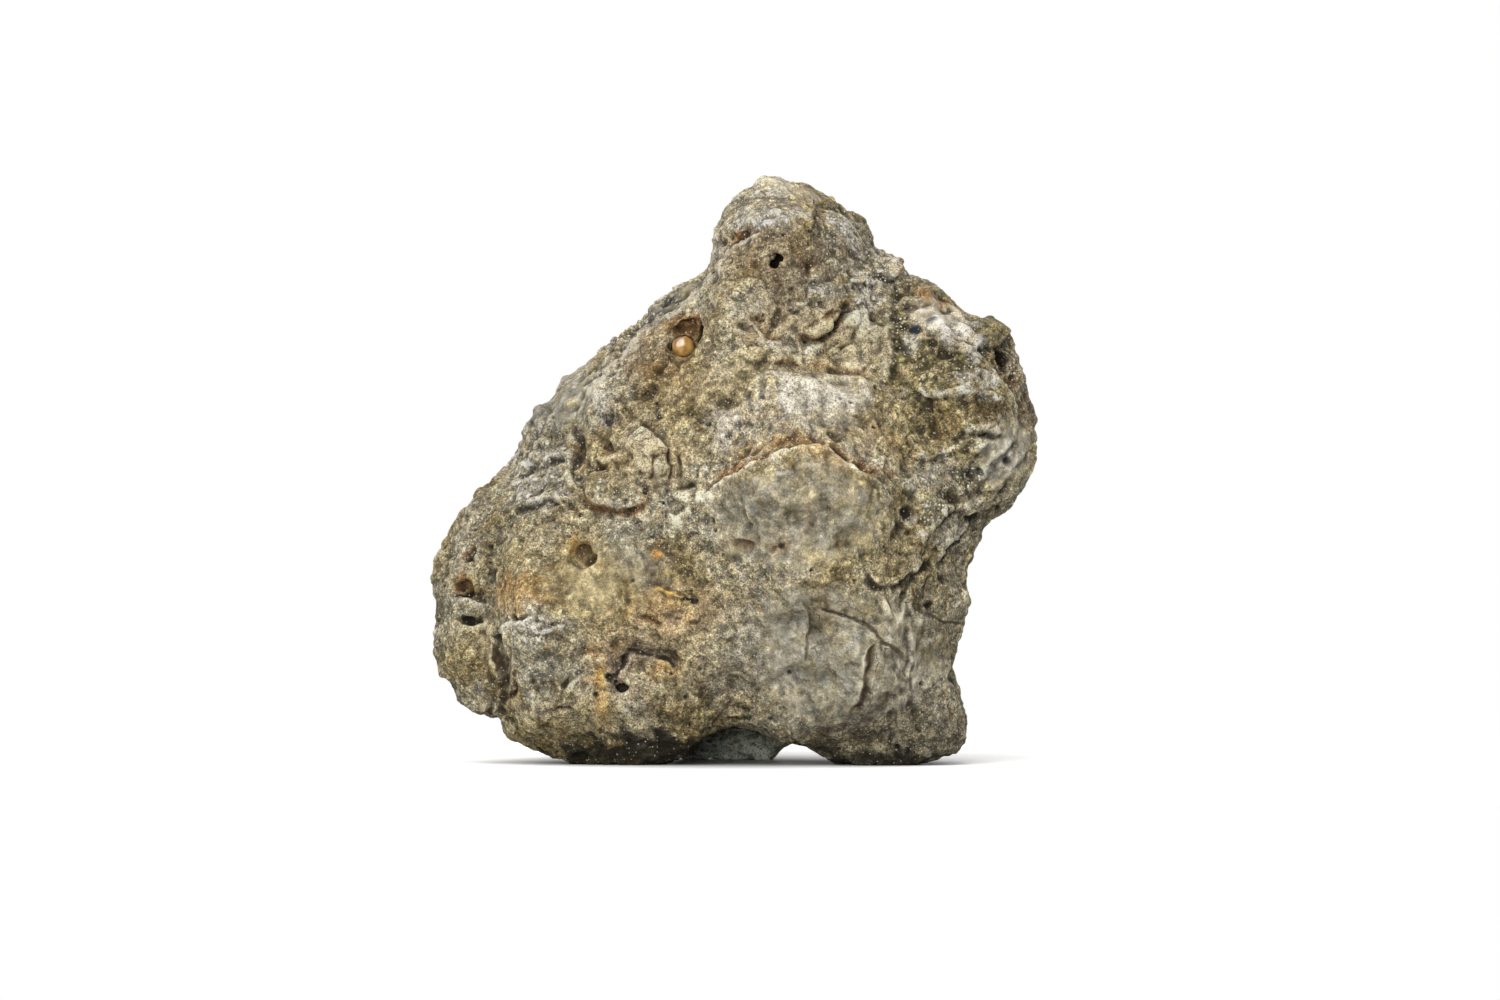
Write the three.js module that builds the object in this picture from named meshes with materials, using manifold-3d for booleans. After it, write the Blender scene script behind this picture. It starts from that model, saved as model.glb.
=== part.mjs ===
// A small lunar meteorite: one weathered lump of breccia that stands on three low feet,
// with a rounded grain of desert sand caught in a pit near its top.
// Millimetres. Seen from the front, +X is to the right, +Y to the back and +Z up.
import * as THREE from "three";
import { ImprovedNoise } from "three/addons/math/ImprovedNoise.js";
import { mergeVertices } from "three/addons/utils/BufferGeometryUtils.js";
import Module from "manifold-3d";

const wasm = await Module();
wasm.setup();

// Driving dimensions
const FRONT_DEPTH = 3.3; // how far the front swells forward of the outline's plane
const BACK_DEPTH = 6.4; // how far the back swells behind it
const FRONT_FULLNESS = 2.5; // 2 is an ellipse, more is a squarer swell
const BACK_FULLNESS = 2.3;
const OUTLINE_CENTRE = [0, 7.9]; // where the outline's rays start, as x and z
const DIRECTIONS = 720; // how many of those rays are measured
const SOFT_SPREAD = 20; // inside, the faces follow the outline averaged over this many rays to each side
const NOTCH_FADE = 4; // a higher power keeps the outline's own notches nearer to it
const BODY_DETAIL = 19; // the ball that is shaped into the stone has 20 * (detail + 1)^2 triangles
const RELIEF_FADE = 7; // a higher power carries the front relief closer to the outline
const COARSE_RELIEF = 0.26; // height of the stone's broad unevenness, whose lumps are COARSE_SIZE apart
const COARSE_SIZE = 2.6;
const FINE_RELIEF = 0.12;
const FINE_SIZE = 1.1;

const STONE_COLOUR = 0x7b7361;
const GRAIN_COLOUR = 0xc98a3c;

// The outline from the front, clockwise from the top knob, as x and z.
const OUTLINE = [
  // the peak's right shoulder and the saddle behind the right lobe
  [1.05, 17.85], [1.4, 17.7], [2.0, 17.55], [2.6, 17.3], [3.2, 16.95], [3.85, 16.3], [4.3, 15.5],
  [4.55, 15.05], [4.85, 14.75], [5.15, 14.45],
  // the right lobe
  [5.65, 14.5], [6.1, 14.2], [6.7, 13.7], [7.3, 13.3], [7.75, 13.25], [8.15, 12.85], [8.7, 11.9],
  [8.95, 11.1], [9.1, 9.65], [9.0, 8.9], [8.6, 8.0], [8.1, 7.45], [7.55, 7.3],
  // the waist and the flared right foot
  [7.45, 6.8], [7.15, 5.95], [7.0, 4.6], [6.8, 3.5], [6.6, 2.8], [6.7, 2.15], [6.9, 1.3], [7.05, 0.6],
  [6.8, 0.3], [5.9, 0.05], [4.7, -0.2], [3.5, 0.1], [2.6, 0.35],
  // the arch
  [1.7, 0.6], [0.95, 1.0], [0.15, 1.2], [-0.65, 1.0], [-1.3, 0.5],
  // the broad left foot
  [-2.2, 0.0], [-3.4, -0.25], [-4.6, 0.0], [-5.65, 0.3], [-6.7, 0.55], [-7.0, 0.8], [-7.05, 1.3],
  // the left lobe
  [-7.6, 1.4], [-8.25, 1.75], [-8.7, 2.35], [-9.0, 3.2], [-9.1, 4.55], [-9.05, 5.45], [-8.75, 6.35],
  [-8.2, 7.3], [-7.45, 8.05],
  // the long left slope
  [-6.65, 8.7], [-6.35, 9.2], [-6.2, 10.0], [-5.8, 10.6], [-5.1, 11.35], [-4.3, 12.1], [-3.4, 12.85],
  [-2.65, 13.45], [-2.3, 14.0], [-1.6, 14.4], [-0.75, 14.9],
  // the peak's left flank
  [-0.65, 15.65], [-0.25, 16.5], [0.35, 17.35], [0.7, 17.75],
];

// The outline isn't in one plane: it runs further back along the upper left than at the feet.
const outlineDepth = (angle) => 0.6 + 2.0 * Math.cos(angle - THREE.MathUtils.degToRad(110));

// Forms of the front face. A mound's rise is towards the viewer, a hollow's is negative, and its
// edge is the share of its radius over which it falls away. Places are x and z.
const MOUNDS = [
  { name: "nose", at: [2.2, 7.2], radii: [4.0, 3.5], turn: 0, rise: 1.7, edge: 0.75 },
  { name: "swell under the nose", at: [1.9, 4.1], radii: [4.2, 2.8], turn: 0, rise: 0.8, edge: 1 },
  { name: "shelf above the nose", at: [2.4, 10.5], radii: [3.0, 2.0], turn: 0, rise: 0.6, edge: 1 },
  { name: "hollow above the shelf", at: [3.0, 12.3], radii: [2.2, 1.2], turn: 0.1, rise: -0.5, edge: 1 },
  { name: "clasts over the hollow", at: [3.2, 13.5], radii: [1.9, 1.2], turn: -0.1, rise: 0.3, edge: 1 },
  { name: "peak boss", at: [1.9, 16.1], radii: [2.3, 1.9], turn: 0, rise: 1.3, edge: 0.9 },
  { name: "dimple under the peak", at: [3.2, 15.6], radii: [1.1, 0.9], turn: 0.4, rise: -0.3, edge: 1 },
  { name: "rough upper left face", at: [-2.4, 12.0], radii: [1.9, 1.6], turn: 0.7, rise: 0.45, edge: 0.7 },
  { name: "upright clast", at: [-2.6, 9.2], radii: [1.1, 1.2], turn: 0.2, rise: 0.45, edge: 0.7 },
  { name: "lens below it", at: [-3.5, 8.0], radii: [1.3, 0.8], turn: -0.1, rise: 0.3, edge: 0.7 },
  { name: "left flank hollow", at: [-4.9, 9.6], radii: [1.2, 1.7], turn: -0.5, rise: -0.45, edge: 1 },
  { name: "lower left swell", at: [-4.2, 4.0], radii: [3.6, 3.6], turn: 0, rise: 0.5, edge: 1 },
  { name: "left lobe", at: [-8.3, 4.2], radii: [1.4, 2.8], turn: 0, rise: 0.7, edge: 1 },
  { name: "saddle over the arch", at: [0.8, 2.2], radii: [2.4, 2.0], turn: 0, rise: -0.2, edge: 1 },
  { name: "lower right swell", at: [4.2, 2.4], radii: [2.4, 2.8], turn: 0, rise: 0.35, edge: 1 },
  { name: "right lobe", at: [7.0, 11.0], radii: [2.3, 3.0], turn: 0.3, rise: 0.6, edge: 0.9 },
  { name: "right lobe hollow", at: [6.3, 10.2], radii: [1.0, 0.8], turn: 0, rise: -0.45, edge: 1 },
  { name: "right lobe brow", at: [7.5, 12.2], radii: [1.2, 0.8], turn: -0.7, rise: 0.35, edge: 0.8 },
];

// Creases of the front face, each a line of x and z points.
const CREASES = [
  { name: "left lobe crease", depth: 0.9, width: 0.7,
    line: [[-6.7, 7.6], [-7.1, 6.2], [-7.1, 4.0], [-7.0, 2.2], [-7.05, 1.0]] },
  { name: "right lobe crease", depth: 0.7, width: 1.3,
    line: [[4.6, 15.0], [4.75, 13.9], [4.9, 12.6], [4.95, 11.0], [5.5, 9.9], [6.5, 8.8], [7.5, 7.2]] },
  { name: "arch crease", depth: 0.3, width: 0.8, line: [[-0.6, 1.3], [-0.1, 2.0], [0.3, 2.8]] },
  { name: "bent crack", depth: 0.25, width: 0.8, line: [[-3.5, 2.4], [-3.0, 3.2], [-2.2, 3.4], [-1.6, 3.1]] },
];

// Ledges of the front face: the ground to the left of the line, as it is walked, stands proud.
const LEDGES = [
  { name: "lip of the nose", rise: 0.9, reach: 1.8, blend: 0.4,
    line: [[5.2, 7.9], [4.6, 8.6], [3.8, 8.95], [2.9, 9.5], [2, 9.65], [1.1, 9.35], [-0.1, 8.8],
      [-1.3, 7.9]] },
  { name: "left foot over the left lobe", rise: 1.1, reach: 1.4, blend: 0.4,
    line: [[-6.75, 6.6], [-6.75, 3.8], [-6.65, 2.2], [-6.7, 0.7]] },
  { name: "edge from the peak down the left slope", rise: 0.95, reach: 1.2, blend: 0.4,
    line: [[0.5, 16.1], [-0.3, 15.2], [-0.85, 14.2], [-2.4, 13.2], [-3.4, 12.5], [-4.1, 11.6], [-4.3, 10.6],
      [-4.1, 9.8]] },
  { name: "peak face over the rough face", rise: 0.6, reach: 0.9, blend: 0.4,
    line: [[-0.65, 14.8], [-0.75, 13.4], [-1.05, 12.1], [-1.95, 11.5], [-2.5, 10.9], [-3.6, 10.3]] },
  { name: "corner of the right side", rise: 0.8, reach: 1.6, blend: 0.6,
    line: [[4.9, 0.5], [5.0, 2.4], [5.3, 4.8], [5.8, 7.1]] },
];

// Lumps, hollows and lobes of the sides and the back, each pushed out along the surface.
const SIDE_FORMS = [
  { name: "back ridge", at: [-0.5, 5.8, 11.0], radius: 3.2, rise: 0.9 },
  { name: "back hollow", at: [3.0, 5.5, 7.0], radius: 2.4, rise: -0.9 },
  { name: "back boss", at: [-4.2, 5.0, 5.0], radius: 2.6, rise: 0.8 },
  { name: "upper right hollow", at: [6.4, 3.6, 11.6], radius: 2.2, rise: -0.7 },
  { name: "right side dent", at: [6.6, 1.6, 4.6], radius: 2.0, rise: -0.6 },
  { name: "left lobe dent", at: [-8.2, 3.0, 5.0], radius: 1.6, rise: -0.5 },
  { name: "left slope step", at: [-4.4, 3.6, 11.0], radius: 1.7, rise: 0.45 },
  { name: "low back lump", at: [3.6, 4.6, 2.8], radius: 1.8, rise: 0.6 },
  { name: "top back dent", at: [2.2, 4.2, 14.6], radius: 1.8, rise: -0.6 },
];

// Broad broken faces of the back and sides: what lies past the plane is pressed back towards it.
const BROKEN_FACES = [
  { normal: [-0.55, 0.78, 0.3], reach: 6.9 },
  { normal: [0.62, 0.74, 0.26], reach: 7.2 },
  { normal: [0.1, 0.92, -0.38], reach: 5.6 },
  { normal: [-0.2, 0.75, 0.63], reach: 6.8 },
  { normal: [-0.85, 0.5, -0.2], reach: 8.0 },
];
const PRESSED_SHARE = 0.8;
const SOFTENING = 0.3; // how far each corner moves to the mean of its neighbours, once

const REAR_FOOT = { at: [0.3, 3.9], radii: [3.8, 2.8], drop: 3.0, below: 5.0 };

// Open pits, each an ellipsoid taken out of the front face. Sunk is how far its centre lies inside.
const PITS = [
  { name: "round pit", at: [-4.45, 6.15], radii: [0.42, 0.35, 0.42], sunk: 0.08 },
  { name: "top lobe pit", at: [-7.9, 6.2], radii: [0.22, 0.35, 0.34], sunk: -0.12, turn: 0.3 },
  { name: "middle lobe pit", at: [-8.0, 5.15], radii: [0.4, 0.4, 0.28], sunk: -0.1, turn: 0.2 },
  { name: "bottom lobe pit", at: [-7.85, 4.25], radii: [0.38, 0.35, 0.2], sunk: -0.08, turn: -0.2 },
  { name: "slot in the peak", at: [0.22, 15.75], radii: [0.5, 0.3, 0.18], sunk: -0.08, turn: 0.7 },
  { name: "dark pit", at: [1.3, 14.95], radii: [0.24, 0.45, 0.26], sunk: 0.1 },
  { name: "slot under the nose", at: [-1.3, 4.95], radii: [0.45, 0.3, 0.18], sunk: 0.05, turn: -0.3 },
  { name: "hole by the bent crack", at: [-3.4, 2.35], radii: [0.3, 0.35, 0.28], sunk: 0.05 },
  { name: "notch in the rough face", at: [-2.55, 10.95], radii: [0.4, 0.3, 0.2], sunk: 0.05, turn: 0.4 },
  { name: "lobe cavity", at: [8.05, 12.05], radii: [0.32, 0.45, 0.4], sunk: 0.1 },
];
const PIT_DETAIL = 1;
const GRAIN_PIT = { at: [-1.37, 12.82], radii: [0.7, 0.7, 0.7], sunk: 0.05 };
const GRAIN_PIT_DETAIL = 3;
const GRAIN_RADIUS = 0.36;
const GRAIN_GAP = 0.03; // air between the grain and the wall it leans on
const GRAIN_LEAN = new THREE.Vector3(-0.32, 0.3, -0.9).normalize();

const noise = new ImprovedNoise();

// 1 at the middle, falling smoothly to 0 at t = 1.
function bell(t) {
  return t >= 1 ? 0 : (1 - t * t) ** 2;
}

// Sums three octaves of smooth noise, from about -1 to 1.
function roughness(point, size) {
  let total = 0;
  for (let octave = 0; octave < 3; octave++) {
    const step = 2 ** octave / size;
    total += noise.noise(point.x * step + 7.3, point.y * step + 3.1, point.z * step + 11.9) / 2 ** octave;
  }
  return total;
}

// The nearest point of a line of points: its distance, and on which side of the line (x, z) lies.
function nearestOnLine(line, x, z) {
  let distance = Infinity;
  let side = 0;
  let along = 0;
  for (let i = 0; i < line.length - 1; i++) {
    const [ax, az] = line[i];
    const dx = line[i + 1][0] - ax;
    const dz = line[i + 1][1] - az;
    const raw = ((x - ax) * dx + (z - az) * dz) / (dx * dx + dz * dz);
    const t = THREE.MathUtils.clamp(raw, 0, 1);
    const gap = Math.hypot(x - ax - t * dx, z - az - t * dz);
    if (gap < distance) {
      distance = gap;
      side = Math.sign(dx * (z - az) - dz * (x - ax));
      along = (i + t) / (line.length - 1);
    }
  }
  return { distance, side, along };
}

function moundHeight({ at, radii, turn, rise, edge }, x, z) {
  const dx = x - at[0];
  const dz = z - at[1];
  const across = (dx * Math.cos(turn) + dz * Math.sin(turn)) / radii[0];
  const up = (dz * Math.cos(turn) - dx * Math.sin(turn)) / radii[1];
  const out = Math.hypot(across, up);
  return rise * (1 - THREE.MathUtils.smoothstep(out, 1 - edge, 1));
}

// A crease is deepest along its middle and runs out at both ends.
function creaseHeight({ line, width, depth }, x, z) {
  const { distance, along } = nearestOnLine(line, x, z);
  const runOut = Math.min(1, 0.35 + 3 * Math.min(along, 1 - along));
  return -depth * runOut * bell(distance / width);
}

function ledgeHeight({ line, rise, reach, blend }, x, z) {
  const { distance, side, along } = nearestOnLine(line, x, z);
  const signed = distance * side;
  const jump = THREE.MathUtils.smoothstep(signed, -blend, blend);
  const runOut = Math.min(1, 5 * Math.min(along, 1 - along));
  return rise * runOut * jump * bell(Math.max(0, distance) / (2 * reach));
}

function frontRelief(x, z) {
  let height = 0;
  for (const mound of MOUNDS) height += moundHeight(mound, x, z);
  for (const crease of CREASES) height += creaseHeight(crease, x, z);
  for (const ledge of LEDGES) height += ledgeHeight(ledge, x, z);
  return height;
}

// The outline's reach from its centre in each of DIRECTIONS directions.
function measureReach() {
  const points = OUTLINE.map(([x, z]) => new THREE.Vector3(x - OUTLINE_CENTRE[0], z - OUTLINE_CENTRE[1], 0));
  const curve = new THREE.CatmullRomCurve3(points, true, "centripetal");
  const reach = new Array(DIRECTIONS).fill(0);
  for (const p of curve.getPoints(DIRECTIONS * 6)) {
    const turn = (Math.atan2(p.y, p.x) / (2 * Math.PI) + 1) % 1;
    const slot = Math.round(turn * DIRECTIONS) % DIRECTIONS;
    reach[slot] = Math.max(reach[slot], Math.hypot(p.x, p.y));
  }
  for (let i = 0; i < DIRECTIONS; i++) if (!reach[i]) reach[i] = reach[(i + DIRECTIONS - 1) % DIRECTIONS];
  return reach;
}

// Each direction's mean over the directions within a spread of it.
function averageAround(reach, spread) {
  return reach.map((_, middle) => {
    let total = 0;
    for (let i = middle - spread; i <= middle + spread; i++) total += reach[(i + DIRECTIONS) % DIRECTIONS];
    return total / (2 * spread + 1);
  });
}

const sharpReach = measureReach();
const softReach = averageAround(sharpReach, SOFT_SPREAD);

function lookUp(reach, angle) {
  const turn = (((angle / (2 * Math.PI)) % 1) + 1) % 1;
  const low = Math.floor(turn * DIRECTIONS);
  const next = (low + 1) % DIRECTIONS;
  return THREE.MathUtils.lerp(reach[low % DIRECTIONS], reach[next], turn * DIRECTIONS - low);
}

// How far forward of the outline's plane the front lies, at a share of the way out to it.
function frontSwell(x, z, share) {
  const swell = FRONT_DEPTH * (1 - share ** FRONT_FULLNESS) ** (1 / FRONT_FULLNESS);
  return swell + frontRelief(x, z) * (1 - share ** RELIEF_FADE);
}

function backSwell(share) {
  return BACK_DEPTH * (1 - share ** BACK_FULLNESS) ** (1 / BACK_FULLNESS);
}

// Carries a direction of the unit ball to its place on the stone.
function placeOnStone(direction) {
  const angle = Math.atan2(direction.z, direction.x);
  const share = Math.min(1, Math.hypot(direction.x, direction.z));
  const [soft, sharp] = [lookUp(softReach, angle), lookUp(sharpReach, angle)];
  const ringReach = THREE.MathUtils.lerp(soft, sharp, share ** NOTCH_FADE);
  const x = OUTLINE_CENTRE[0] + ringReach * share * Math.cos(angle);
  const z = OUTLINE_CENTRE[1] + ringReach * share * Math.sin(angle);
  const swell = direction.y < 0 ? -frontSwell(x, z, share) : backSwell(share);
  return new THREE.Vector3(x, outlineDepth(angle) * share ** 2 + swell, z);
}

function pressToBrokenFaces(point) {
  const centre = new THREE.Vector3(OUTLINE_CENTRE[0], 0, OUTLINE_CENTRE[1]);
  for (const { normal, reach } of BROKEN_FACES) {
    const across = new THREE.Vector3(...normal).normalize();
    const past = point.clone().sub(centre).dot(across) - reach;
    if (past > 0) point.addScaledVector(across, -past * PRESSED_SHARE);
  }
}

function dropRearFoot(point) {
  const { at, radii, drop, below } = REAR_FOOT;
  if (point.z > below) return;
  const out = Math.hypot((point.x - at[0]) / radii[0], (point.y - at[1]) / radii[1]);
  point.z -= drop * bell(out) * (1 - THREE.MathUtils.smoothstep(point.z, 0.4 * below, below));
}

// Closed triangles with shared corners, as a solid that can be cut and joined.
function toSolid(geometry) {
  const bare = geometry.clone();
  bare.deleteAttribute("normal");
  bare.deleteAttribute("uv");
  const merged = mergeVertices(bare, 1e-5);
  return new wasm.Manifold(
    new wasm.Mesh({
      numProp: 3,
      vertProperties: new Float32Array(merged.attributes.position.array),
      triVerts: new Uint32Array(merged.index.array),
    }),
  );
}

function toGeometry(solid) {
  const { vertProperties, triVerts, numProp } = solid.getMesh();
  const corners = vertProperties.length / numProp;
  const positions = new Float32Array(corners * 3);
  for (let i = 0; i < corners; i++) {
    for (let axis = 0; axis < 3; axis++) positions[3 * i + axis] = vertProperties[numProp * i + axis];
  }
  const geometry = new THREE.BufferGeometry();
  geometry.setAttribute("position", new THREE.BufferAttribute(positions, 3));
  geometry.setIndex(new THREE.BufferAttribute(new Uint32Array(triVerts), 1));
  geometry.computeVertexNormals();
  return geometry;
}

// The lump itself: a ball carried to the outline and the front relief, then broken and roughened.
function makeBody() {
  const ball = new THREE.IcosahedronGeometry(1, BODY_DETAIL);
  ball.deleteAttribute("normal");
  ball.deleteAttribute("uv");
  const body = mergeVertices(ball, 1e-5);
  const place = body.attributes.position;
  for (let i = 0; i < place.count; i++) {
    const point = placeOnStone(new THREE.Vector3().fromBufferAttribute(place, i).normalize());
    pressToBrokenFaces(point);
    dropRearFoot(point);
    place.setXYZ(i, point.x, point.y, point.z);
  }
  body.computeVertexNormals();
  const normals = body.attributes.normal;
  for (let i = 0; i < place.count; i++) {
    const point = new THREE.Vector3().fromBufferAttribute(place, i);
    const normal = new THREE.Vector3().fromBufferAttribute(normals, i);
    let rise = COARSE_RELIEF * roughness(point, COARSE_SIZE) + FINE_RELIEF * roughness(point, FINE_SIZE);
    for (const form of SIDE_FORMS) {
      rise += form.rise * bell(point.distanceTo(new THREE.Vector3(...form.at)) / form.radius);
    }
    point.addScaledVector(normal, rise);
    place.setXYZ(i, point.x, point.y, point.z);
  }
  soften(body, SOFTENING);
  return body;
}

// Moves every corner part of the way to the mean of its neighbours, which takes off sawteeth.
function soften(geometry, share) {
  const place = geometry.attributes.position;
  const index = geometry.index;
  const sums = Array.from({ length: place.count }, () => new THREE.Vector3());
  const counts = new Array(place.count).fill(0);
  for (let i = 0; i < index.count; i++) {
    const corner = index.getX(i);
    const next = index.getX(i % 3 === 2 ? i - 2 : i + 1);
    sums[corner].add(new THREE.Vector3().fromBufferAttribute(place, next));
    counts[corner]++;
  }
  for (let i = 0; i < place.count; i++) {
    const point = new THREE.Vector3().fromBufferAttribute(place, i);
    point.lerp(sums[i].divideScalar(counts[i]), share);
    place.setXYZ(i, point.x, point.y, point.z);
  }
}

// Where a line of sight from the front first meets the body.
function surfaceFromFront(body, x, z) {
  const ray = new THREE.Raycaster(new THREE.Vector3(x, -30, z), new THREE.Vector3(0, 1, 0));
  return ray.intersectObject(body)[0].point;
}

function pitCentre(body, { at, sunk }) {
  return surfaceFromFront(body, ...at).add(new THREE.Vector3(0, sunk, 0));
}

function makePit(centre, pit, detail) {
  const hollow = new THREE.IcosahedronGeometry(1, detail);
  hollow.scale(...pit.radii);
  hollow.rotateY(-(pit.turn ?? 0));
  hollow.translate(...centre.toArray());
  return toSolid(hollow);
}

function makeStone(body, grainPitCentre) {
  let stone = toSolid(body.geometry);
  for (const pit of PITS) stone = stone.subtract(makePit(pitCentre(body, pit), pit, PIT_DETAIL));
  stone = stone.subtract(makePit(grainPitCentre, GRAIN_PIT, GRAIN_PIT_DETAIL));
  const ground = new THREE.BoxGeometry(40, 40, 4).translate(0, 0, -2);
  return toGeometry(stone.subtract(toSolid(ground)));
}

// A worn quartz grain: a ball flattened a little and dented unevenly.
function makeGrain() {
  const grain = new THREE.IcosahedronGeometry(1, 3);
  grain.deleteAttribute("normal");
  grain.deleteAttribute("uv");
  const shape = mergeVertices(grain, 1e-5);
  const place = shape.attributes.position;
  for (let i = 0; i < place.count; i++) {
    const point = new THREE.Vector3().fromBufferAttribute(place, i).normalize();
    const dent = 0.06 * (noise.noise(point.x * 1.7 + 5, point.y * 1.7, point.z * 1.7) - 1);
    point.multiplyScalar(GRAIN_RADIUS * (1 + dent));
    place.setXYZ(i, point.x, point.y, point.z);
  }
  shape.computeVertexNormals();
  return shape;
}

const body = new THREE.Mesh(makeBody());
const grainPitCentre = pitCentre(body, GRAIN_PIT);

const stone = new THREE.Mesh(
  makeStone(body, grainPitCentre),
  new THREE.MeshStandardMaterial({ color: STONE_COLOUR, roughness: 0.85, metalness: 0 }),
);
stone.name = "stone";

const grain = new THREE.Mesh(
  makeGrain(),
  new THREE.MeshStandardMaterial({ color: GRAIN_COLOUR, roughness: 0.25, metalness: 0 }),
);
grain.name = "sand_grain";
grain.position.copy(grainPitCentre);
grain.position.addScaledVector(GRAIN_LEAN, GRAIN_PIT.radii[0] - GRAIN_RADIUS - GRAIN_GAP);

// The origin is on the ground under the middle of the stone.
const extent = new THREE.Box3().setFromObject(stone);
const meteorite = new THREE.Group();
meteorite.add(stone, grain);
meteorite.position.set(-(extent.min.x + extent.max.x) / 2, -(extent.min.y + extent.max.y) / 2, 0);

export default meteorite;
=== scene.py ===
"""The looks of a small lunar meteorite: its weathered breccia, and the sand grain caught in a pit.

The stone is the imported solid, remeshed finely and carved. Everything is worked out in millimetres,
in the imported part's own frame: +X to the right, +Y to the back, +Z up, seen from the front.
"""
import itertools
import math

import bpy
import numpy as np
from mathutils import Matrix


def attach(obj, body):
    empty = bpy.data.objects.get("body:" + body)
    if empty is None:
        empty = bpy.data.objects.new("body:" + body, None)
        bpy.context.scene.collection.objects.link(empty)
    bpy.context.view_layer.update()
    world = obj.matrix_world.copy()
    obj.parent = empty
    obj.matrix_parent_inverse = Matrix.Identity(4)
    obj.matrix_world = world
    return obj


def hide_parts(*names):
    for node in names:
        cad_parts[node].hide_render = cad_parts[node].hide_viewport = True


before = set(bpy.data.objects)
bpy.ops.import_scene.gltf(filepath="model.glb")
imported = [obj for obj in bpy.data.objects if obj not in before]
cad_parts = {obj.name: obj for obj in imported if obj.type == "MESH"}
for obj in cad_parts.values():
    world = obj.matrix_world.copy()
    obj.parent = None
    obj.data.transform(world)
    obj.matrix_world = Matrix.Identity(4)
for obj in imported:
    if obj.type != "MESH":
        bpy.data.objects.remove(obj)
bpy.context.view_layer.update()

MM = 0.001

# The fine mesh, in millimetres
VOXEL = 0.065
SMOOTHING_ROUNDS = 40
BACK_SHARE = 0.3
TRIANGLES = 192_000

# The photograph's view: level, from far in front
CAMERA_DISTANCE = 250.0
CAMERA_X = 0.37
CAMERA_HEIGHT = 7.86
VIEW_WIDTH = 45.0

# The floor is pure white beyond these distances from its middle
WHITE_FROM = 16.0
WHITE_BY = 40.0

FLOOR_WIDTH = 3000.0

# The lights: place, width and power
SOFTBOXES = [
    ("top_box", (-40, -110, 180), 150, 0.19),
    ("front_box", (-110, -210, 90), 110, 0.16),
    ("low_box", (-40, -265, 20), 90, 0.29),
]

# How many random values the noise has on a side before it repeats
LATTICE = 32

# Fine forms of the front, as (x, z) in millimetres. Each row starts with the form's name.

# Lines that are cut as steps or grooves and also drawn as hairlines
LEFT_SLOPE = [(-0.77, 15.0), (-0.95, 14.45), (-1.45, 13.9), (-2.1, 13.45), (-2.8, 12.9), (-3.3, 12.35),
              (-3.8, 11.9), (-4.15, 11.45), (-4.5, 11.0)]
UPRIGHT_CLAST = [(-1.95, 9.25), (-2.2, 9.45), (-2.4, 9.75), (-2.65, 10.0), (-2.85, 10.02), (-3.05, 9.8),
                 (-3.2, 9.45), (-3.35, 9.2)]
CURVED_CRACK = [(3.25, 1.5), (3.6, 1.95), (3.75, 2.5), (3.8, 3.1), (3.85, 3.5), (4.15, 3.7)]
HOOKED_CRACK = [(3.7, 5.65), (4.05, 5.4), (4.4, 5.3), (4.85, 5.45), (5.2, 5.75)]
BESIDE_CREASE = [(-6.6, 2.9), (-6.55, 2.3), (-6.75, 1.9)]

# Steps that come in sets: rise, drop, width, fade and tints, as in the list below
LAYERED_LIP = (0.07, 0.07, 0.07, 0.3, {"pale": 1.8}, {"dark": 0.4})
PALE_RIDGE = (0.07, 0.07, 0.08, 0.3, {"pale": 1.6}, {"dark": 0.3})
DIAGONAL_RIDGE = (0.05, 0.05, 0.1, 0.35, {"pale": 0.25}, {"dark": 0.3})

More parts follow.
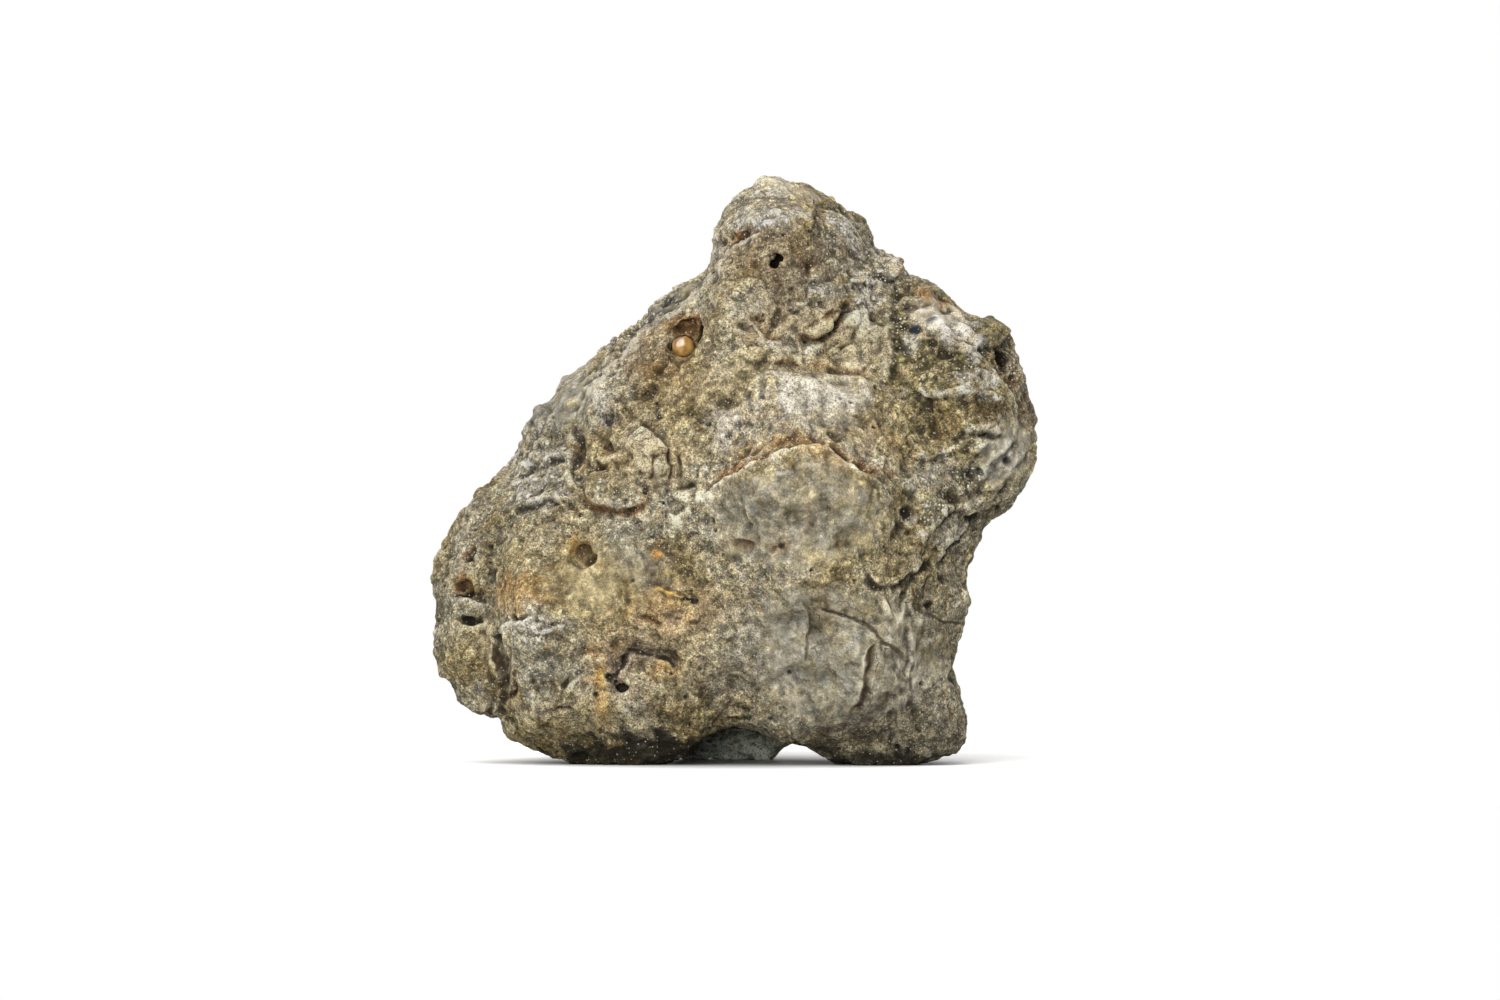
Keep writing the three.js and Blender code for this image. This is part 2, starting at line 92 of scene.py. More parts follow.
# Steps: the surface stands proud on the left of the way that each line is drawn.
# Each has a rise, a drop on the low side, the width of the step, how far it fades,
# the tints of its crest, the tints of its foot, and its line.
# The dark of each foot is painted shade under its scarp, and the pale of a crest is partly a painted
# highlight on its lit edge.
STEPS = [
    # the peak
    ("edge down the left slope", 0.10, 0.24, 0.12, 1.1, {"pale": 2.0}, {"dark": 0.2, "grey": 0.6},
     [(-0.65, 15.7), *LEFT_SLOPE, (-4.75, 10.5), (-4.8, 9.95)]),
    ("lip under the slot", 0.10, 0.08, 0.08, 0.35, {"pale": 1.8}, {"rust": 0.6, "dark": 0.3},
     [(0.75, 15.85), (0.45, 15.75), (0.2, 15.55), (0.0, 15.45), (-0.3, 15.3), (-0.5, 15.0), (-0.7, 14.5)]),
    ("break under the top", 0.03, 0.04, 0.09, 0.5, {"pale": 0.4}, {"dark": 0.12},
     [(-0.25, 16.75), (0.3, 16.9), (0.8, 16.95), (1.3, 16.8), (1.65, 16.85), (1.9, 17.0)]),
    ("cleft in the peak", 0.08, 0.08, 0.1, 0.6, {}, {"dark": 0.3},
     [(2.3, 15.6), (2.25, 16.2), (2.3, 16.9)]),
    ("right shoulder of the peak", 0.06, 0.12, 0.1, 0.5, {"pale": 0.6}, {"dark": 0.3},
     [(4.3, 14.9), (3.95, 15.6), (3.5, 16.1), (3.0, 16.45), (2.6, 16.7)]),
    ("upper layered lip", *LAYERED_LIP, [(3.6, 15.0), (3.95, 15.1), (4.35, 15.1)]),
    ("middle layered lip", *LAYERED_LIP, [(3.85, 14.75), (4.25, 14.65), (4.65, 14.4)]),
    ("lower layered lip", 0.07, 0.07, 0.07, 0.3, {"pale": 1.6}, {"dark": 0.4},
     [(3.35, 14.4), (3.75, 14.3), (4.2, 14.2)]),
    ("drop to the right lobe", 0.05, 0.16, 0.3, 0.9, {"pale": 0.3}, {"olive": 0.9},
     [(4.45, 11.2), (4.55, 11.9), (4.6, 12.6), (4.55, 13.2), (4.7, 13.9), (4.6, 14.4)]),
    # the folds under the peak
    ("lip of the left fold", 0.08, 0.07, 0.09, 0.45, {"cream": 0.9, "pale": 1.2}, {"rust": 0.7},
     [(1.75, 12.35), (1.4, 12.35), (1.25, 12.6), (0.85, 12.65), (0.6, 12.85), (0.45, 13.1), (0.3, 13.45)]),
    ("slab over the slit", 0.11, 0.06, 0.1, 0.5, {"rust": 0.2}, {"rust": 0.9, "dark": 0.1},
     [(1.7, 12.85), (2.15, 12.7), (2.55, 12.75), (2.85, 13.0), (3.1, 13.3), (3.4, 13.55)]),
    ("first wavy lip", 0.07, 0.06, 0.09, 0.35, {"cream": 0.7}, {"rust": 0.8},
     [(0.95, 11.95), (1.3, 12.1), (1.65, 12.05), (1.95, 11.85)]),
    ("second wavy lip", 0.07, 0.06, 0.1, 0.35, {"cream": 0.7}, {"rust": 0.8, "dark": 0.1},
     [(2.3, 12.05), (2.6, 11.8), (3.0, 11.7), (3.45, 11.75), (3.9, 11.85)]),
    ("top of the pink shelf", 0.10, 0.04, 0.2, 0.7, {"pink": 0.9}, {"dark": 0.15},
     [(4.3, 11.3), (3.6, 11.5), (3.0, 11.5), (2.3, 11.45), (1.6, 11.6), (0.9, 11.7), (0.4, 11.4),
      (0.1, 10.8)]),
    ("left end of the pink shelf", 0.08, 0.08, 0.2, 0.6, {"pink": 0.6}, {"dark": 0.3},
     [(0.3, 10.9), (-0.2, 10.6), (-0.6, 10.1), (-0.75, 9.6)]),
    # the nose
    ("lip of the nose", 0.14, 0.16, 0.12, 0.6, {"cream": 0.5, "pale": 0.8}, {"rust": 1.0, "dark": 0.15},
     [(4.5, 8.25), (4.0, 8.55), (3.5, 8.75), (3.2, 8.95), (2.8, 9.3), (2.35, 9.5), (1.9, 9.5), (1.4, 9.35),
      (0.8, 9.1), (0.2, 8.85), (-0.35, 8.55), (-0.75, 8.25), (-1.15, 7.95)]),
    ("right side of the nose", 0.12, 0.16, 0.2, 0.8, {"cream": 0.3}, {"dark": 0.3, "rust": 0.2},
     [(4.45, 6.6), (4.6, 7.2), (4.55, 7.8), (4.5, 8.3)]),
    ("bottom edge of the nose", 0.05, 0.06, 0.14, 0.6, {}, {"rust": 0.5},
     [(-0.2, 6.75), (0.5, 6.6), (1.2, 6.55), (1.7, 6.7)]),
    # the clasts on the left of the middle
    ("upright clast", 0.15, 0.10, 0.09, 0.5, {"pale": 0.6, "cream": 0.5}, {"rust": 0.5, "dark": 0.2},
     UPRIGHT_CLAST),
    ("left foot of the upright clast", 0.10, 0.10, 0.1, 0.4, {"pale": 0.4}, {"rust": 0.7},
     [(-4.2, 9.1), (-3.9, 9.0), (-3.6, 9.0), (-3.35, 9.2)]),
    ("underside of the lens", 0.08, 0.06, 0.12, 0.5, {"grey": 0.9, "pale": 0.2}, {"rust": 1.0},
     [(-4.65, 8.3), (-4.45, 7.95), (-4.1, 7.7), (-3.6, 7.55), (-3.15, 7.55), (-2.85, 7.75), (-2.7, 8.3)]),
    ("top of the lens", 0.03, 0.03, 0.1, 0.4, {"pale": 0.4}, {},
     [(-2.9, 8.8), (-3.5, 8.65), (-4.1, 8.75), (-4.5, 8.6)]),
    # the left flank and lobe
    ("shelf across the flank", 0.12, 0.14, 0.12, 0.5, {"pale": 1.5}, {"dark": 0.5},
     [(-6.6, 8.7), (-6.1, 8.9), (-5.5, 9.1), (-5.0, 9.1)]),
    ("lower shelf of the flank", 0.10, 0.12, 0.1, 0.4, {"pale": 0.8}, {"dark": 0.4},
     [(-6.7, 7.9), (-6.2, 7.75), (-5.7, 7.9), (-5.2, 7.75)]),
    ("right side of the flank", 0.08, 0.12, 0.1, 0.5, {"pale": 0.3}, {"dark": 0.4, "rust": 0.3},
     [(-4.8, 8.1), (-4.95, 8.9), (-4.8, 9.6), (-5.0, 10.2)]),
    ("left rib of the lobe", 0.07, 0.07, 0.07, 0.3, {"pale": 0.5}, {"dark": 0.4},
     [(-8.1, 7.3), (-8.25, 6.9), (-8.4, 6.5)]),
    ("brow of the middle lobe pit", 0.10, 0.10, 0.1, 0.4, {}, {"dark": 0.6, "rust": 0.4},
     [(-8.45, 5.25), (-8.2, 5.55), (-7.9, 5.45), (-7.75, 5.1)]),
    ("white lip of the lobe", 0.12, 0.10, 0.09, 0.4, {"pale": 1.6}, {"dark": 0.9},
     [(-7.35, 4.75), (-7.7, 4.8), (-8.1, 4.85), (-8.5, 4.95)]),
    ("lower lip of the lobe", 0.10, 0.10, 0.08, 0.3, {"pale": 0.6}, {"dark": 0.9},
     [(-7.5, 4.3), (-7.8, 4.1), (-8.15, 4.15), (-8.4, 4.35)]),
    ("crease of the left lobe", 0.12, 0.10, 0.10, 0.35, {"pale": 0.3}, {"dark": 0.7},
     [(-7.05, 1.3), (-7.0, 1.9), (-6.95, 2.5), (-7.1, 3.1), (-7.2, 3.7), (-7.1, 4.2)]),
    # the lower left
    ("first pale ridge", *PALE_RIDGE, [(-5.9, 4.45), (-6.4, 4.3), (-6.8, 4.25), (-7.15, 4.0)]),
    ("second pale ridge", *PALE_RIDGE, [(-5.1, 4.2), (-5.5, 4.05), (-5.85, 3.95)]),
    ("third pale ridge", 0.06, 0.06, 0.08, 0.3, {"pale": 0.6}, {"dark": 0.3},
     [(-6.0, 3.75), (-6.4, 3.75), (-6.75, 3.65)]),
    ("white streak of the lower left", 0.06, 0.06, 0.07, 0.25, {"pale": 0.9}, {"dark": 0.3},
     [(-4.55, 2.75), (-4.85, 2.55), (-5.15, 2.25)]),
    ("shelf by the bent crack", 0.10, 0.08, 0.1, 0.5, {"pale": 0.3, "pink": 0.4}, {"dark": 0.7},
     [(-1.8, 3.05), (-2.05, 3.25), (-2.5, 3.35), (-3.1, 3.4), (-3.35, 3.1), (-3.65, 2.7), (-3.85, 2.6)]),
    # the lower right
    ("hooked crack", 0.06, 0.08, 0.08, 0.3, {"cream": 0.3}, {"dark": 0.8}, [*HOOKED_CRACK, (5.4, 6.1)]),
    ("side of the fan", 0.08, 0.08, 0.08, 0.3, {"cream": 0.6}, {"dark": 0.4},
     [(4.6, 4.35), (4.45, 4.9), (4.3, 5.3)]),
    ("other side of the fan", 0.05, 0.08, 0.08, 0.3, {"cream": 0.5}, {"dark": 0.4},
     [(5.2, 5.5), (4.95, 4.9), (4.7, 4.3)]),
    ("facet under the right lobe", 0.12, 0.12, 0.1, 0.6, {"pale": 0.6}, {"dark": 0.5},
     [(5.9, 5.9), (6.2, 6.45), (6.7, 6.95), (7.1, 7.4)]),
    ("second facet under the right lobe", 0.10, 0.10, 0.1, 0.5, {"pale": 0.3}, {"dark": 0.5},
     [(5.3, 6.1), (5.6, 6.8), (6.1, 7.3), (6.6, 7.7)]),
    ("curved crack", 0.04, 0.06, 0.08, 0.3, {"cream": 0.4}, {"dark": 0.5, "rust": 0.5}, CURVED_CRACK),
    ("corner ridge", 0.08, 0.08, 0.1, 0.5, {"pale": 0.5}, {"dark": 0.4},
     [(5.0, 5.2), (5.1, 4.2), (5.0, 3.2), (5.05, 2.4)]),
    ("foot of the corner ridge", 0.07, 0.07, 0.1, 0.5, {"pale": 0.5}, {"dark": 0.4},
     [(4.7, 2.2), (4.6, 1.5), (4.55, 0.8)]),
    ("flare of the right foot", 0.06, 0.08, 0.12, 0.6, {"pale": 0.3}, {"dark": 0.2},
     [(6.6, 2.2), (6.2, 2.6), (6.35, 3.4)]),
    # the right lobe
    ("brow over the pink band", 0.10, 0.10, 0.12, 0.5, {}, {"dark": 0.4, "rust": 0.4},
     [(4.9, 13.9), (5.3, 13.75), (5.8, 13.75), (6.3, 13.5), (6.8, 13.1)]),
    ("foot of the pink band", 0.08, 0.08, 0.12, 0.5, {"pink": 0.8}, {"olive": 0.9},
     [(5.2, 12.6), (5.8, 12.65), (6.3, 12.4), (6.8, 12.2), (7.15, 11.8)]),
    ("cap of the lobe", 0.12, 0.14, 0.12, 0.5, {}, {"dark": 0.5},
     [(7.2, 12.6), (7.5, 12.4), (7.9, 12.5), (8.2, 12.8)]),
    ("lip across the lobe", 0.06, 0.06, 0.12, 0.5, {"pale": 1.6}, {"dark": 0.2},
     [(5.0, 10.8), (5.6, 10.95), (6.2, 11.0), (6.9, 10.95), (7.4, 10.85), (7.9, 10.7)]),
    ("bright edge under the hollow", 0.12, 0.12, 0.09, 0.4, {"pale": 2.0}, {"dark": 0.4},
     [(8.25, 10.2), (8.3, 10.7), (8.0, 11.1), (7.75, 11.5), (7.6, 11.9)]),
    ("top of the crevice", 0.06, 0.08, 0.10, 0.4, {"pale": 0.3}, {"dark": 0.9},
     [(6.5, 10.0), (6.9, 9.85), (7.3, 9.8), (7.8, 9.8)]),
    ("edge of the olive bulge", 0.06, 0.06, 0.12, 0.5, {"pale": 0.4}, {"dark": 0.15},
     [(5.2, 9.2), (5.8, 9.1), (6.4, 9.3), (6.8, 9.6)]),
    ("first diagonal ridge", *DIAGONAL_RIDGE, [(7.0, 7.9), (7.35, 8.6), (7.8, 9.25), (8.3, 9.8)]),
    ("second diagonal ridge", *DIAGONAL_RIDGE, [(7.45, 7.8), (7.8, 8.3), (8.2, 8.8), (8.7, 9.4)]),
    ("third diagonal ridge", *DIAGONAL_RIDGE, [(6.7, 8.8), (7.1, 9.2), (7.5, 9.6)]),
    ("underside of the lobe", 0.10, 0.24, 0.12, 0.5, {"rust": 0.3}, {"dark": 1.0},
     [(6.6, 7.4), (7.0, 7.45), (7.4, 7.6), (7.9, 7.8)]),
]

# Grooves: a width, a depth (a ridge's is negative), tints and the line.
# The dark tints of the grooves are painted shade in them, and the pale of a ridge is a painted highlight.
GROOVES = [
    ("slit in the fold", 0.16, 0.30, {"dark": 0.9, "rust": 0.3}, [(2.7, 12.75), (2.95, 13.1), (3.3, 13.5)]),
    ("stain over the nose", 0.14, 0.08, {"rust": 0.9},
     [(-0.1, 9.0), (0.5, 9.3), (1.1, 9.6), (1.7, 9.75), (2.3, 9.7), (2.8, 9.5), (3.3, 9.15), (3.9, 8.85),
      (4.5, 8.6)]),
    ("second light of the nose", 0.10, -0.04, {"pale": 0.6}, [(0.6, 8.45), (1.05, 8.6), (1.4, 8.7)]),
    ("first groove by the clast", 0.10, 0.12, {"rust": 0.8, "dark": 0.2}, [(-2.5, 9.2), (-2.55, 8.45)]),
    ("second groove by the clast", 0.09, 0.12, {"rust": 0.9, "dark": 0.2}, [(-2.05, 9.35), (-2.0, 8.4)]),
    ("third groove by the clast", 0.09, 0.12, {"rust": 0.7, "dark": 0.2}, [(-1.75, 9.25), (-1.7, 8.5)]),
    ("nick by the cream clasts", 0.09, 0.10, {"dark": 0.7, "rust": 0.3}, [(-1.7, 8.2), (-1.25, 8.35)]),
    ("groove right of the crease", 0.10, 0.10, {"rust": 0.7, "dark": 0.4}, BESIDE_CREASE),
    ("bent crack", 0.09, 0.16, {"dark": 1.0}, [(-3.8, 2.6), (-3.5, 2.85), (-3.3, 3.25)]),
    ("black start of the bent crack", 0.08, 0.14, {"dark": 1.0}, [(-3.2, 3.4), (-2.85, 3.35), (-2.5, 3.4)]),
    ("end of the bent crack", 0.08, 0.12, {"dark": 0.8, "rust": 0.4},
     [(-2.5, 3.3), (-2.1, 3.2), (-1.85, 3.0)]),
    ("brown slot", 0.12, 0.10, {"rust": 1.0, "dark": 0.4}, [(-2.85, 4.4), (-2.5, 4.35), (-2.2, 4.2)]),
    ("black slot", 0.12, 0.2, {"dark": 1.0}, [(-1.65, 4.95), (-1.4, 4.9), (-1.1, 4.85)]),
    ("slot low on the left", 0.10, 0.12, {"dark": 0.7, "rust": 0.5},
     [(-5.3, 1.7), (-4.95, 1.75), (-4.6, 1.6)]),
    ("dashes over the arch", 0.10, 0.08, {"dark": 0.9}, [(-0.4, 1.35), (0.4, 1.4)]),
    ("crevice of the lobe", 0.12, 0.2, {"dark": 1.0}, [(6.9, 9.8), (7.3, 9.75), (7.8, 9.75)]),
]

# Hairlines, crisper than the mesh, which the material draws: half a width, how dark,
# how pale on the left of the way, and the line.
# The dark of a hairline is painted shade in its crack, and its pale side a painted highlight on the lit lip.
HAIRLINES = [
    ("long hairline", 0.045, 1.0, 0.9,
     [(5.05, 3.1), (4.7, 3.4), (4.4, 3.65), (4.1, 3.95), (3.5, 4.3), (2.9, 4.6), (2.4, 4.7)]),
    ("curved hairline", 0.045, 1.0, 1.0, CURVED_CRACK),
    ("arched hairline", 0.04, 0.8, 0.7,
     [(2.05, 3.1), (2.05, 3.7), (2.2, 4.15), (2.15, 4.65), (1.9, 4.85)]),
    ("first line in the lobe's crease", 0.05, 1.0, 0.2,
     [(-7.2, 3.7), (-7.1, 3.1), (-6.98, 2.5), (-6.98, 1.9), (-7.05, 1.5)]),
    ("second line in the lobe's crease", 0.03, 0.8, 0.6, [(-6.85, 3.3), (-6.82, 2.5), (-6.92, 1.7)]),
    ("line across the side", 0.04, 0.9, 0.5, [(5.5, 4.5), (6.0, 4.3), (6.4, 4.2), (6.75, 4.15)]),
    ("crease of the arch", 0.045, 0.9, 0.2, [(-0.7, 1.15), (-0.6, 1.4), (-0.4, 1.7), (-0.15, 2.0)]),
    ("left mark", 0.035, 0.7, 0.2, [(-0.95, 3.0), (-0.93, 2.6)]),
    ("right mark", 0.035, 0.6, 0.5, [(-0.05, 3.0), (0.02, 2.5)]),
    ("crack across the corner", 0.035, 0.9, 0.3, [(4.55, 3.5), (4.85, 3.2), (5.15, 3.05), (5.1, 2.2)]),
    ("crack behind the fan", 0.035, 0.8, 0.4, [(5.7, 5.8), (5.4, 5.2), (5.35, 4.6)]),
    ("line down the corner", 0.045, 0.9, 0.7, [(4.7, 2.2), (4.65, 1.5), (4.6, 0.9), (4.5, 0.5)]),
    ("hook", 0.045, 0.9, 0.3, HOOKED_CRACK),
    ("lower black slot", 0.05, 1.0, 0.3, [(-1.45, 4.3), (-1.1, 4.25)]),
    ("line under the lens", 0.04, 0.25, 0.9,
     [(-4.65, 8.25), (-4.45, 7.95), (-4.1, 7.7), (-3.6, 7.55), (-3.15, 7.55), (-2.85, 7.75)]),
    ("top of the upright clast", 0.03, 0.5, 1.0, UPRIGHT_CLAST),
    ("first side of the cream block", 0.035, 0.7, 0.4, [(-2.5, 9.25), (-2.53, 8.45)]),
    ("second side of the cream block", 0.035, 0.7, 0.4, [(-2.08, 9.35), (-2.03, 8.35)]),
    ("third side of the cream block", 0.035, 0.6, 0.4, [(-1.75, 9.25), (-1.7, 8.5)]),
    ("line over the nose", 0.05, 0.5, 0.5,
     [(4.0, 8.6), (3.5, 8.8), (3.2, 9.0), (2.8, 9.35), (2.35, 9.56), (1.9, 9.56), (1.4, 9.4), (0.8, 9.15),
      (0.2, 8.9)]),
    ("line down the left slope", 0.07, 0.3, 2.0, LEFT_SLOPE),
    ("second edge by the peak", 0.06, 0.2, 2.0,
     [(-0.35, 15.3), (-0.62, 14.9), (-0.75, 14.3), (-0.85, 13.8), (-0.8, 13.5)]),
    ("rim of the slot", 0.04, 0.4, 1.8,
     [(0.75, 15.9), (0.45, 15.75), (0.2, 15.52), (0.0, 15.4), (-0.25, 15.25), (-0.5, 14.95)]),
    ("line on the left fold", 0.04, 0.3, 1.5,
     [(1.75, 12.35), (1.4, 12.35), (1.25, 12.6), (0.85, 12.65), (0.6, 12.85), (0.45, 13.1), (0.32, 13.4)]),
    ("shoulder line", 0.03, 0.3, 0.7,
     [(-0.25, 16.75), (0.3, 16.9), (0.8, 16.9), (1.3, 16.75), (1.7, 16.85)]),
    ("cleft", 0.04, 0.7, 0.2, [(2.28, 15.9), (2.24, 16.4), (2.3, 16.9)]),
    ("line under the right lobe", 0.04, 0.9, 0.5, [(6.0, 6.0), (6.3, 6.5), (6.75, 6.95), (7.15, 7.35)]),
    ("crack left of the bent one", 0.045, 1.0, 0.3, [(-3.8, 2.62), (-3.5, 2.85), (-3.3, 3.25)]),
    ("crack right of the bent one", 0.04, 1.0, 0.4,
     [(-3.2, 3.42), (-2.85, 3.35), (-2.45, 3.38), (-2.1, 3.2), (-1.85, 3.0)]),
    ("line right of the crease", 0.04, 0.8, 0.4, BESIDE_CREASE),
    ("streak of the lower left", 0.03, 0.4, 1.0, [(-4.55, 2.75), (-4.85, 2.6), (-5.15, 2.3)]),
    ("rib of the lobe", 0.03, 0.7, 0.9, [(-8.1, 7.3), (-8.2, 6.9), (-8.4, 6.5)]),
]

# How far from a hairline the material can tell its distance: in millimetres, and in half widths
HAIR_REACH = 0.3
HAIR_WIDTHS = 6.0

# Open pits of the front: place, radii, depth, turn and tints.
# The dark tints of the pits are painted shade in them, and in the black spots of the right lobe dark stone.
HOLES = [
    ("dark hole", (1.18, 14.92), (0.2, 0.22), 0.3, 0, {"dark": 1.3}),
    ("rim of the dark hole", (1.18, 14.92), (0.32, 0.32), 0.05, 0, {"rust": 0.7, "dark": 0.25}),
    ("seat of the grain", (-1.66, 12.25), (0.42, 0.46), 0.05, 0, {"rust": 0.5, "dark": 0.3}),
    ("pocket over the grain", (-1.6, 13.05), (0.72, 0.42), 0.14, 0.1, {"rust": 0.9}),
    ("black wall of the pocket", (-1.1, 12.8), (0.15, 0.4), 0.2, -0.15, {"dark": 1.3}),
    ("slot in the peak", (0.12, 15.8), (0.55, 0.26), 0.16, 0.7, {"rust": 0.9}),
    ("dark end of the slot", (0.0, 15.6), (0.3, 0.08), 0.06, 0.5, {"dark": 0.75}),
    ("pit right of the hole", (2.05, 14.75), (0.14, 0.24), 0.12, 0.1, {"rust": 0.7, "dark": 0.4}),
    ("small pit left of the hole", (0.5, 14.85), (0.14, 0.17), 0.08, 0, {"rust": 0.6, "ochre": 0.4}),
    ("small pit over the hole", (1.35, 15.75), (0.1, 0.08), 0.08, 0, {"dark": 0.7, "rust": 0.4}),
    ("brown pocket of the folds", (2.75, 13.35), (0.3, 0.16), 0.12, 0.6, {"rust": 1.0, "dark": 0.2}),
    ("green spot in the fold", (2.05, 12.5), (0.1, 0.14), 0.12, 0, {"dark": 0.9}),
    ("top of the slit", (3.2, 13.65), (0.26, 0.15), 0.16, 0.3, {"dark": 0.6, "rust": 0.6}),
    ("inside of the left fold", (0.65, 13.2), (0.16, 0.24), 0.12, 0.4, {"rust": 0.8, "dark": 0.2}),
    ("left pit over the nose", (2.9, 9.35), (0.3, 0.11), 0.16, -0.5, {"dark": 0.6, "rust": 0.6}),
    ("right pit over the nose", (3.7, 8.9), (0.42, 0.13), 0.16, -0.4, {"dark": 0.5, "rust": 0.7}),
    ("hollow left of the upright clast", (-3.8, 9.4), (0.38, 0.28), 0.16, 0.2, {"dark": 0.35, "rust": 0.4}),
    ("spot under the clast", (-2.7, 8.15), (0.14, 0.14), 0.1, 0, {"dark": 0.6, "rust": 0.4}),
    ("pit right of the nose", (5.1, 7.45), (0.24, 0.26), 0.2, 0, {"dark": 0.8, "rust": 0.3}),
    ("round pit", (-4.55, 6.3), (0.42, 0.42), 0.16, 0, {"ochre": 0.5, "rust": 0.3}),
    ("deep part of the round pit", (-4.35, 6.1), (0.25, 0.2), 0.16, 0.3, {"dark": 0.6, "rust": 0.6}),
    ("top lobe pit", (-8.0, 6.3), (0.2, 0.36), 0.16, -0.3, {"dark": 0.35, "rust": 0.6}),
    ("floor of the top lobe pit", (-7.95, 6.08), (0.16, 0.1), 0.12, 0.5, {"dark": 0.9}),
    ("middle lobe pit", (-8.1, 5.4), (0.3, 0.36), 0.14, 0, {"rust": 0.9, "dark": 0.2}),
    ("floor of the middle lobe pit", (-8.1, 5.05), (0.34, 0.11), 0.16, 0.2, {"dark": 1.2}),
    ("lower lobe pit", (-7.95, 4.3), (0.3, 0.14), 0.2, -0.3, {"dark": 1.1}),
    ("hole by the crease", (-6.6, 4.42), (0.12, 0.14), 0.18, 0, {"dark": 0.9}),
    ("first hole by the bent crack", (-3.75, 2.65), (0.17, 0.14), 0.16, 0, {"dark": 0.9}),
    ("second hole by the bent crack", (-3.45, 2.35), (0.24, 0.2), 0.16, 0, {"dark": 0.6, "rust": 0.5}),
    ("black end of the bent crack", (-2.1, 3.15), (0.17, 0.1), 0.14, -0.6, {"dark": 1.0}),
    ("first black spot", (4.95, 13.05), (0.17, 0.17), 0.12, 0, {"dark": 1.2, "olive": 1}),
    ("second black spot", (5.3, 12.95), (0.2, 0.17), 0.08, 0, {"dark": 1.2, "blue": 1}),
    ("third black spot", (5.75, 13.25), (0.2, 0.14), 0.03, 0.4, {"dark": 0.7, "blue": 1}),
    ("first mossy hollow", (4.9, 12.2), (0.35, 0.5), 0.08, 0, {"olive": 1.0, "dark": 0.3}),
    ("second mossy hollow", (5.6, 11.9), (0.5, 0.35), 0.07, 0.3, {"olive": 1.0, "dark": 0.55}),
    ("third mossy hollow", (6.7, 12.0), (0.5, 0.3), 0.06, -0.2, {"olive": 1.0, "dark": 0.5}),
    ("fourth mossy hollow", (6.0, 11.3), (0.6, 0.25), 0.05, 0, {"olive": 0.9, "dark": 0.3}),
    ("lobe's hollow", (7.85, 12.0), (0.25, 0.28), 0.16, 0, {"dark": 0.8, "rust": 0.2}),
    ("brown hollow below it", (8.15, 11.45), (0.26, 0.36), 0.12, 0, {"rust": 0.6, "dark": 0.4}),
    ("olive hollow", (6.1, 10.1), (0.6, 0.55), 0.05, 0.3, {"olive": 0.55, "ochre": 0.3}),
    ("second olive hollow", (6.6, 9.3), (0.4, 0.4), 0.05, 0.3, {"olive": 0.6}),
    ("first pit under the lobe", (6.85, 8.65), (0.2, 0.2), 0.2, 0, {"dark": 0.9}),
    ("second pit under the lobe", (7.2, 8.75), (0.15, 0.12), 0.16, 0, {"dark": 0.9}),
    ("pit in the diagonal ridges", (8.0, 9.05), (0.12, 0.14), 0.14, 0, {"dark": 0.9}),
    ("dark glints right of the nose", (6.3, 7.95), (0.4, 0.35), 0.06, 0.4, {"olive": 1.0, "dark": 0.5}),
    ("dark glints below them", (5.7, 7.3), (0.6, 0.25), 0.06, 0.3, {"olive": 1.0, "dark": 0.2}),
    ("first pore of the side", (5.5, 5.9), (0.14, 0.2), 0.14, 0, {"dark": 0.8}),
    ("second pore of the side", (6.1, 5.5), (0.3, 0.17), 0.12, -0.4, {"dark": 0.6}),
    ("third pore of the side", (5.65, 4.75), (0.17, 0.14), 0.12, 0, {"dark": 0.7}),
]
